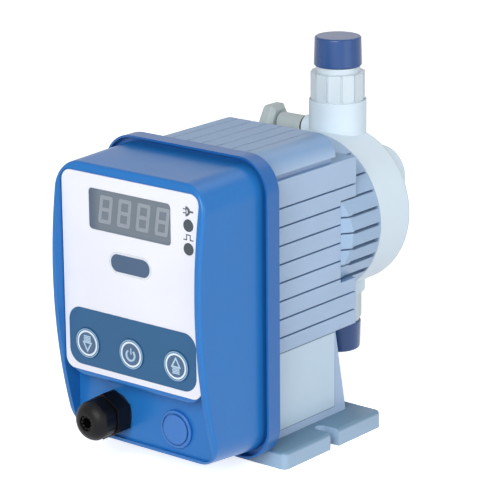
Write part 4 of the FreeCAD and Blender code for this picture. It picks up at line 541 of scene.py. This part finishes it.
# %% Lamp pictograms
LAMPS = box_of("indicator_lamps")
LINE = 0.6
PULSE_Z = LAMPS.middle.z
PULSE_REACH = 3.0
PULSE_HALF = 1.2
PULSE_RISE = 1.3
PLUG_Z = LAMPS.high.z + 3.45
PLUG_RADIUS = 2.0
FACE_X = -1.3
FACE_LENGTH = 4.4
PIN_X = -2.4
PIN_LENGTH = 1.8
PIN_APART = 2.0
CORD_X = 2.1
CORD_LENGTH = 2.6
CORD_WIDTH = 1.0
plastic("dark_ink", shade(74, 84, 94), 0.5, grain=0.05, uneven=0.05, edge=0.05)


def printed_at(x, z):
    """Place of a mark on the panel, measured sideways from the middle of the lamps."""
    return (LAMPS.middle.x + x, PANEL_Y, z)


pulse_points = [(-PULSE_REACH, -PULSE_RISE), (-PULSE_HALF, -PULSE_RISE), (-PULSE_HALF, PULSE_RISE),
                (PULSE_HALF, PULSE_RISE), (PULSE_HALF, -PULSE_RISE), (PULSE_REACH, -PULSE_RISE)]
marks = []
for (x0, z0), (x1, z1) in zip(pulse_points, pulse_points[1:]):
    at = printed_at((x0 + x1) / 2, PULSE_Z + (z0 + z1) / 2)
    length = math.hypot(x1 - x0, z1 - z0) + LINE
    marks.append(bar("pulse_line", at, length, LINE, 2 * INK, 0.0 if z0 == z1 else math.pi / 2))
give(join_pieces("pulse_pictogram", marks), "dark_ink", "membrane_panel")
marks = [arc("plug_shell", printed_at(FACE_X, PLUG_Z), PLUG_RADIUS, LINE, 2 * INK, -math.pi / 2, math.pi)]
marks.append(bar("plug_face", printed_at(FACE_X, PLUG_Z), FACE_LENGTH, LINE, 2 * INK, math.pi / 2))
for side in (-1, 1):
    at = printed_at(PIN_X, PLUG_Z + side * PIN_APART / 2)
    marks.append(bar("plug_pin", at, PIN_LENGTH, LINE, 2 * INK))
marks.append(bar("plug_cord", printed_at(CORD_X, PLUG_Z), CORD_LENGTH, CORD_WIDTH, 2 * INK, corner=0.2))
give(join_pieces("plug_pictogram", marks), "dark_ink", "membrane_panel")
print("pictograms at", round(PLUG_Z, 2), "and", round(PULSE_Z, 2), "mm")

# %% [markdown]
# Each key shows a thin outer ring, a bright broad ring and a dark middle with its symbol.
# The symbols are an arrow down, the power sign and an arrow up.
# The arrows are three-sided rings beside a block of close lines.
# All these marks ride on the key, so they sink with it when it is pressed.

# %% Key marks
OUTER_RADIUS = 7.8
OUTER_INSIDE = 7.35
BROAD_RADIUS = 6.9
MIDDLE_RADIUS = 5.9
ARROW_REACH = 1.2
HEAD_RADIUS = 3.9
HEAD_INSIDE = 2.2
LINE_COUNT = 4
LINE_PITCH = 0.85
LINE_LENGTH = 4.8
LINE_WIDTH = 0.62
POWER_WIDTH = 0.75
POWER_RADIUS = 2.8
POWER_DROP = 0.4
POWER_OPENING = math.radians(76)
POWER_LINE = 3.4
POWER_LINE_RISE = 1.7
plastic("ring_white", shade(214, 228, 240), 0.35, grain=0.05, edge=0.05)
plastic("ring_dim", shade(150, 180, 208), 0.35, grain=0.05, edge=0.05)
plastic("key_dark", shade(62, 92, 124), 0.4, grain=0.1, uneven=0.05, edge=0.05)
plastic("symbol_ink", shade(170, 196, 220), 0.4, grain=0.05, edge=0.05)


def arrow(face, way):
    """Arrow that points up or down, with a block of close lines behind it."""
    turn = 0.0 if way > 0 else math.pi
    head_at = (face.x, face.y - INK, face.z + way * ARROW_REACH)
    pieces = [ring("arrow_head", head_at, HEAD_RADIUS, HEAD_INSIDE, INK, 3, turn)]
    for row in range(LINE_COUNT):
        line_at = (face.x, face.y - INK / 2, face.z - way * (ARROW_REACH + row * LINE_PITCH))
        pieces.append(bar("arrow_line", line_at, LINE_LENGTH, LINE_WIDTH, INK))
    return pieces


def power_sign(face):
    """Open circle with an upright line in its gap."""
    arc_at = (face.x, face.y - INK, face.z - POWER_DROP)
    line_at = (face.x, face.y - INK, face.z + POWER_LINE_RISE)
    start = (math.pi + POWER_OPENING) / 2
    return [arc("power_arc", arc_at, POWER_RADIUS, POWER_WIDTH, INK, start, 2 * math.pi - POWER_OPENING),
            bar("power_line", line_at, POWER_LINE, POWER_WIDTH, INK, math.pi / 2, 0.2)]


for key, way in (("key_down", -1), ("key_power", 0), ("key_up", 1)):
    key_box = box_of(key)
    face = Point(key_box.middle.x, key_box.low.y, key_box.middle.z)
    outer_at = (face.x, face.y - INK, face.z)
    broad_at = (face.x, face.y - 1.5 * INK, face.z)
    middle_at = (face.x, face.y - INK / 4, face.z)
    give(ring(key + "_outer_ring", outer_at, OUTER_RADIUS, OUTER_INSIDE, INK), "ring_dim", key)
    give(ring(key + "_ring", broad_at, BROAD_RADIUS, MIDDLE_RADIUS, 1.5 * INK), "ring_white", key)
    give(disc(key + "_middle", middle_at, MIDDLE_RADIUS, INK / 2, INK / 8), "key_dark", key)
    symbol = arrow(face, way) if way else power_sign(face)
    give(join_pieces(key + "_symbol", symbol), "symbol_ink", key)
    print(key, "marks at", [round(v, 2) for v in face], "mm")

# %% [markdown]
# The rating plate on the right side of the body is a bare pale foil with a thin dark border.
# It runs forward until the rim hides it.
# The border is a slightly larger plate on the body's side, and the foil stands out from it.

# %% Rating plate
BODY_SIDE = box_of("finned_housing").high.x
PLATE_Y = -8.9
PLATE_Z = 35.2
PLATE_LENGTH = 60.4
PLATE_HEIGHT = 42.2
FOIL_BACK = 0.08
FOIL_THICKNESS = 0.14
FOIL_CORNER = 0.8
BORDER_WIDTH = 0.4
BORDER_THICKNESS = 0.12
BORDER_CORNER = 1.0
plastic("plate_foil", shade(185, 207, 224), 0.3, grain=0.1, uneven=0.04, edge=0.05)
plastic("plate_border", shade(92, 112, 130), 0.5, grain=0.1, uneven=0.04, edge=0.05)


def side_plate(name, back, thickness, wider, corner):
    """Plate on the right side of the body, from its back outwards, wider than the foil on every side."""
    centre = (BODY_SIDE + back + thickness / 2, PLATE_Y, PLATE_Z)
    size = (thickness, PLATE_LENGTH + 2 * wider, PLATE_HEIGHT + 2 * wider)
    piece = plate(name, centre, size, corner, steps=4, axis=0)
    print(name, [round(v / MM, 1) for v in piece.dimensions])
    return piece


rating_plate = side_plate("rating_plate", FOIL_BACK, FOIL_THICKNESS, 0.0, FOIL_CORNER)
give(rating_plate, "plate_foil", "finned_housing")
border = side_plate("rating_plate_border", 0.0, BORDER_THICKNESS, BORDER_WIDTH, BORDER_CORNER)
give(border, "plate_border", "finned_housing")

# %% [markdown]
# The two threaded connections have a faceted grip and a plain stub in the frame.
# Here each is copied, its grip gets a narrow groove at every corner,
# and its stub becomes a real thread: the stub shrinks to the root and a ridge is wound round it.
# The ridge is a triangle swept along a helix with the pitch of a half-inch pipe thread, 1.814 mm.

# %% Threaded connections
VALVE_Y = box_of("outlet_fitting").middle.y
CAP_SEAT_GAP = 0.2
OUTLET_STUB = box_of("outlet_cap").low.z - CAP_SEAT_GAP
INLET_STUB = box_of("inlet_cap").high.z + CAP_SEAT_GAP
STUB_RADIUS = 10.475
STUB_INSIDE = 9.0
ROOT_RADIUS = 9.4
THREAD_PITCH = 1.814
THREAD_TURNS = 6
THREAD_STEPS = 40
THREAD_START = 1.3
RIDGE = 0.8
GROOVE = 0.9
GROOVE_DEPTH = 0.55
GROOVE_STEP = 0.02
GRIP_RADIUS = 13.5
GRIP_EDGE = 10.0
HAIR = 0.01
port_axis = Vector((0.0, VALVE_Y, 0.0)) * MM


def from_axis(point):
    return math.hypot(point.x - port_axis.x, point.y - port_axis.y) / MM


def copy_node(node, name):
    """Free copy of a node of the frame, with its split corners merged and its flat faces made whole."""
    bpy.ops.object.select_all(action="DESELECT")
    source = frame["nodes"][node]
    bpy.context.view_layer.objects.active = source
    source.select_set(True)
    bpy.ops.object.duplicate()
    piece = bpy.context.object
    piece.name = name
    open_edit(piece)
    bpy.ops.mesh.remove_doubles(threshold=0.0005 * MM)
    bpy.ops.mesh.select_all(action="SELECT")
    bpy.ops.mesh.dissolve_limited(angle_limit=math.radians(0.5))
    close_edit()
    return piece


def thread_ridge(name, z):
    """Triangle swept round the port's axis, upwards from a height."""
    bpy.ops.object.select_all(action="DESELECT")
    place = port_axis + Vector((0.0, 0.0, z * MM))
    bpy.ops.mesh.primitive_circle_add(vertices=3, radius=RIDGE * MM, location=place)
    ridge = bpy.context.object
    ridge.name = name
    open_edit(ridge)
    bpy.ops.transform.rotate(value=math.pi / 2, orient_axis="Z", center_override=ridge.location)
    bpy.ops.transform.rotate(value=math.pi / 2, orient_axis="X", center_override=ridge.location)
    bpy.ops.transform.translate(value=((STUB_RADIUS - RIDGE) * MM, 0.0, 0.0))
    bpy.ops.object.mode_set(mode="OBJECT")
    bpy.ops.object.modifier_add(type="SCREW")
    winding = ridge.modifiers[0]
    winding.screw_offset = THREAD_PITCH * MM
    winding.iterations = THREAD_TURNS
    winding.steps = THREAD_STEPS
    winding.render_steps = THREAD_STEPS
    bpy.ops.object.modifier_apply(modifier=winding.name)
    bpy.ops.object.transform_apply(location=True, rotation=True, scale=True)
    reach = max(from_axis(vertex.co) for vertex in ridge.data.vertices)
    print(name, "reaches", round(reach, 2), "mm")
    return ridge


def groove_grip(piece):
    """Sinks a narrow groove into each upright corner of the faceted grip."""

    def in_grip_corner(a, b):
        return abs(a.z - b.z) > GRIP_EDGE * MM and min(from_axis(a), from_axis(b)) > GRIP_RADIUS

    open_edit(piece, in_grip_corner)
    bpy.ops.mesh.bevel(offset=GROOVE / 2 * MM, segments=1, affect="EDGES")
    bpy.ops.mesh.select_mode(type="FACE")
    bpy.ops.mesh.inset(thickness=GROOVE_STEP * MM, depth=-GROOVE_DEPTH * MM, use_individual=True)
    close_edit()


def shrink_stub(piece, stub_z, way):
    """Brings the outside of the stub, from its foot on, to the thread's root."""
    bpy.ops.object.mode_set(mode="EDIT")
    bpy.ops.mesh.select_mode(type="VERT")
    bpy.ops.mesh.select_all(action="DESELECT")
    bpy.ops.object.mode_set(mode="OBJECT")
    for vertex in piece.data.vertices:
        beyond = way * (vertex.co.z / MM - stub_z)
        vertex.select = beyond > -HAIR and STUB_INSIDE < from_axis(vertex.co) < STUB_RADIUS + HAIR
    bpy.ops.object.mode_set(mode="EDIT")
    share = ROOT_RADIUS / STUB_RADIUS
    bpy.ops.transform.resize(value=(share, share, 1.0), center_override=port_axis)
    close_edit()


def threaded_fitting(node, stub_z, way):
    piece = copy_node(node, node + "_threaded")
    groove_grip(piece)
    shrink_stub(piece, stub_z, way)
    low = stub_z + THREAD_START if way > 0 else stub_z - THREAD_START - THREAD_TURNS * THREAD_PITCH
    piece = join_pieces(node + "_threaded", [piece, thread_ridge(node + "_ridge", low)])
    give(piece, "fitting_white", node)
    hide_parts(node)


threaded_fitting("outlet_fitting", OUTLET_STUB, 1)
threaded_fitting("inlet_fitting", INLET_STUB, -1)

# %% [markdown]
# The bleed valve is seen above the body: a long grey arm and a six-sided knob with wide chamfers.
# The photograph shows the arm longer and the knob shorter than the frame has them,
# so both are made again here, between the same two ends.
# The arm reaches a little way into the knob, which hides its end.

# %% Bleed arm and knob
BLEED_Z = box_of("bleed_knob").middle.z
SHANK_LENGTH = 6.0
ARM_NEAR = box_of("bleed_body").high.x - SHANK_LENGTH
ARM_RADIUS = 5.6
ARM_ROUNDING = 0.5
ARM_IN_KNOB = 0.8
KNOB_LENGTH = 9.6
KNOB_FAR = box_of("bleed_knob").low.x
KNOB_NEAR = KNOB_FAR + KNOB_LENGTH
KNOB_RADIUS = 10.6
KNOB_CHAMFER = 2.4
KNOB_ROUNDING = 0.3


def bar_x(name, near, far, radius, sides):
    """Round or many-sided bar along X, on the bleed valve's axis."""
    place = Vector(((near + far) / 2, VALVE_Y, BLEED_Z)) * MM
    return start_piece(name, bpy.ops.mesh.primitive_cylinder_add, vertices=sides, radius=radius * MM,
                       depth=abs(far - near) * MM, location=place, rotation=(0.0, math.pi / 2, 0.0))


def in_end_face(a, b):
    return abs(a.x - b.x) < 0.1 * MM


bleed_arm = bar_x("bleed_arm", ARM_NEAR, KNOB_NEAR + ARM_IN_KNOB, ARM_RADIUS, ROUND_SIDES)
round_edges(bleed_arm, ARM_ROUNDING, 3, in_end_face)
give(bleed_arm, "knob_grey", "bleed_body")
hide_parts("bleed_body")
bleed_grip = bar_x("bleed_grip", KNOB_NEAR, KNOB_FAR, KNOB_RADIUS, 6)
round_edges(bleed_grip, KNOB_CHAMFER, 1, in_end_face)
round_edges(bleed_grip, KNOB_ROUNDING, 2)
give(bleed_grip, "knob_grey", "bleed_knob")
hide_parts("bleed_knob")
print("bleed knob", [round(v / MM, 1) for v in bleed_grip.dimensions])

# %% [markdown]
# The return spring is squeezed between the armature and its seat each time the plunger strokes.
# A rigid spring would let the armature cut through it. Here a copy with a mesh of its own takes its place.

# %% Return spring
spring = give(copy_node("return_spring", "return_spring_pressed"), "rod_steel", "return_spring")
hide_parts("return_spring")
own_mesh(spring)

# %% [markdown]
# Inside the gland's mouth a ring of plastic claws grips the cable when the nut is tightened.
# Each claw is a small bar, and ten of them stand in a circle with their edges rounded.

# %% Gland claws
GLAND = box_of("gland_body").middle
CLAW_Y = box_of("gland_nut").low.y + 3.5
CLAW_COUNT = 10
CLAW_CIRCLE = 3.45
CLAW_SIZE = (1.3, 5.6, 1.6)
CLAW_ROUNDING = 0.18
claws = []
for i in range(CLAW_COUNT):
    angle = 2 * math.pi * i / CLAW_COUNT
    at = (GLAND.x + CLAW_CIRCLE * math.cos(angle), CLAW_Y, GLAND.z - CLAW_CIRCLE * math.sin(angle))
    claw = start_piece("claw", bpy.ops.mesh.primitive_cube_add, size=MM, location=Vector(at) * MM,
                       rotation=(0.0, angle, 0.0), scale=CLAW_SIZE)
    round_edges(claw, CLAW_ROUNDING, 2)
    claws.append(claw)
give(join_pieces("gland_claws", claws), "gland_black", "gland_nut")
print(CLAW_COUNT, "claws")

# %% [markdown]
# The pump stands on a pale floor that runs up to a white background.
# The floor glows for the camera and in reflections, so that it is white up to the horizon
# and keeps a soft shadow. The glow puts no other light on the pump.

# %% Floor
FLOOR_SIZE = 6.0
FLOOR_SCALE = 3.0
FLOOR_DETAIL = 2.0
FLOOR_ROUGHNESS = 0.9
FLOOR_GLOW = 0.8


def seen_rays(tree):
    """1 for the rays that look at the background: from the camera, from gloss and through glass."""
    ray = tree.nodes.new("ShaderNodeLightPath")
    either = calculate(tree, "MAXIMUM", ray.outputs["Is Camera Ray"], ray.outputs["Is Glossy Ray"])
    return calculate(tree, "MAXIMUM", either, ray.outputs["Is Transmission Ray"])


bpy.ops.object.select_all(action="DESELECT")
bpy.ops.mesh.primitive_plane_add(size=FLOOR_SIZE, location=(0, 0, 0))
floor = bpy.context.object
floor.name = "floor"
tree, shader, place = nodes_of("pale_floor")
clouds = spread(tree, noise(tree, place, FLOOR_SCALE, FLOOR_DETAIL), 0.0, 1.0)
soft_white = mix_colours(tree, clouds, shade(240, 241, 243), shade(246, 247, 248))
tree.links.new(soft_white, shader.inputs["Base Color"])
shader.inputs["Roughness"].default_value = FLOOR_ROUGHNESS
tree.links.new(soft_white, shader.inputs["Emission Color"])
tree.links.new(calculate(tree, "MULTIPLY", seen_rays(tree), FLOOR_GLOW), shader.inputs["Emission Strength"])
floor.data.materials.append(finish["pale_floor"])
print("floor", FLOOR_SIZE, "m square")

# %% [markdown]
# The studio's white walls stand to the right of the view and its left is dark,
# so round white forms get a dark edge on their left, as in the photograph.
# The rays that look at the background see plain white instead.

# %% White studio
STUDIO_RIGHT = (0.775, 0.632, 0.0)
WALL_SPAN = (-0.7, 0.5)
WALL_LIGHT = (0.04, 0.42)
world = bpy.data.worlds.new("white_studio")
bpy.context.scene.world = world
world.use_nodes = True
sky = world.node_tree
direction = sky.nodes.new("ShaderNodeTexCoord")
rightward = sky.nodes.new("ShaderNodeVectorMath")
rightward.operation = "DOT_PRODUCT"
rightward.inputs[1].default_value = STUDIO_RIGHT
sky.links.new(direction.outputs["Generated"], rightward.inputs[0])
wall = remap(sky, rightward.outputs["Value"], WALL_SPAN, WALL_LIGHT, ends="LINEAR")
background = sky.nodes["Background"]
background.inputs["Color"].default_value = (1.0, 1.0, 1.0, 1.0)
sky.links.new(calculate(sky, "MAXIMUM", wall, seen_rays(sky)), background.inputs["Strength"])
print("walls from", WALL_LIGHT[0], "on the left to", WALL_LIGHT[1], "on the right")

# %% [markdown]
# Product photographs of this kind use large soft boxes.
# The key lamp is in front of the panel and high, the side lamp lights the ribbed side,
# and the top lamp, above and behind, draws the bright edge along the tops.

# %% Lamps
MIDDLE = Vector((0.0, 0.0, 0.1))


def soft_box(name, place, size, power):
    """Square lamp that looks at the middle of the pump, with its place and size in metres."""
    bpy.ops.object.light_add(type="AREA", location=place)
    lamp = bpy.context.object
    lamp.name = name
    lamp.data.size = size
    lamp.data.energy = power
    lamp.rotation_euler = (MIDDLE - Vector(place)).to_track_quat("-Z", "Y").to_euler()
    print(name, power, "watts")


soft_box("key_lamp", (0.5, -1.35, 0.85), size=0.9, power=22.0)
soft_box("side_lamp", (1.5, -0.1, 0.45), size=1.0, power=6.0)
soft_box("top_lamp", (0.1, 0.9, 1.5), size=0.8, power=2.4)

# %% [markdown]
# The camera repeats the photograph's view.
# Its direction, distance and focal length were worked out
# from edges of the object whose real places are known.

# %% Camera
AZIMUTH = math.radians(39.19)
ELEVATION = math.radians(16.36)
ROLL = math.radians(-0.45)
DISTANCE = 1.3521
TARGET = Vector((0.0001, 0.0, 0.1001))
FOCAL_PIXELS = 2514.7
IMAGE_PIXELS = 500
SENSOR = 36.0
level = Vector((math.cos(AZIMUTH), math.sin(AZIMUTH), 0.0))
back = Vector((math.sin(AZIMUTH) * math.cos(ELEVATION),
               -math.cos(AZIMUTH) * math.cos(ELEVATION),
               math.sin(ELEVATION)))
upward = back.cross(level)
right = math.cos(ROLL) * level + math.sin(ROLL) * upward
up = math.cos(ROLL) * upward - math.sin(ROLL) * level
bpy.ops.object.camera_add()
camera = bpy.context.object
camera.data.sensor_width = SENSOR
camera.data.lens = FOCAL_PIXELS / IMAGE_PIXELS * SENSOR
turned = Matrix((right, up, back)).transposed().to_4x4()
camera.matrix_world = Matrix.Translation(TARGET + back * DISTANCE) @ turned
bpy.context.scene.camera = camera
bpy.context.scene.view_settings.view_transform = "Standard"
print("lens", round(camera.data.lens, 1), "mm")
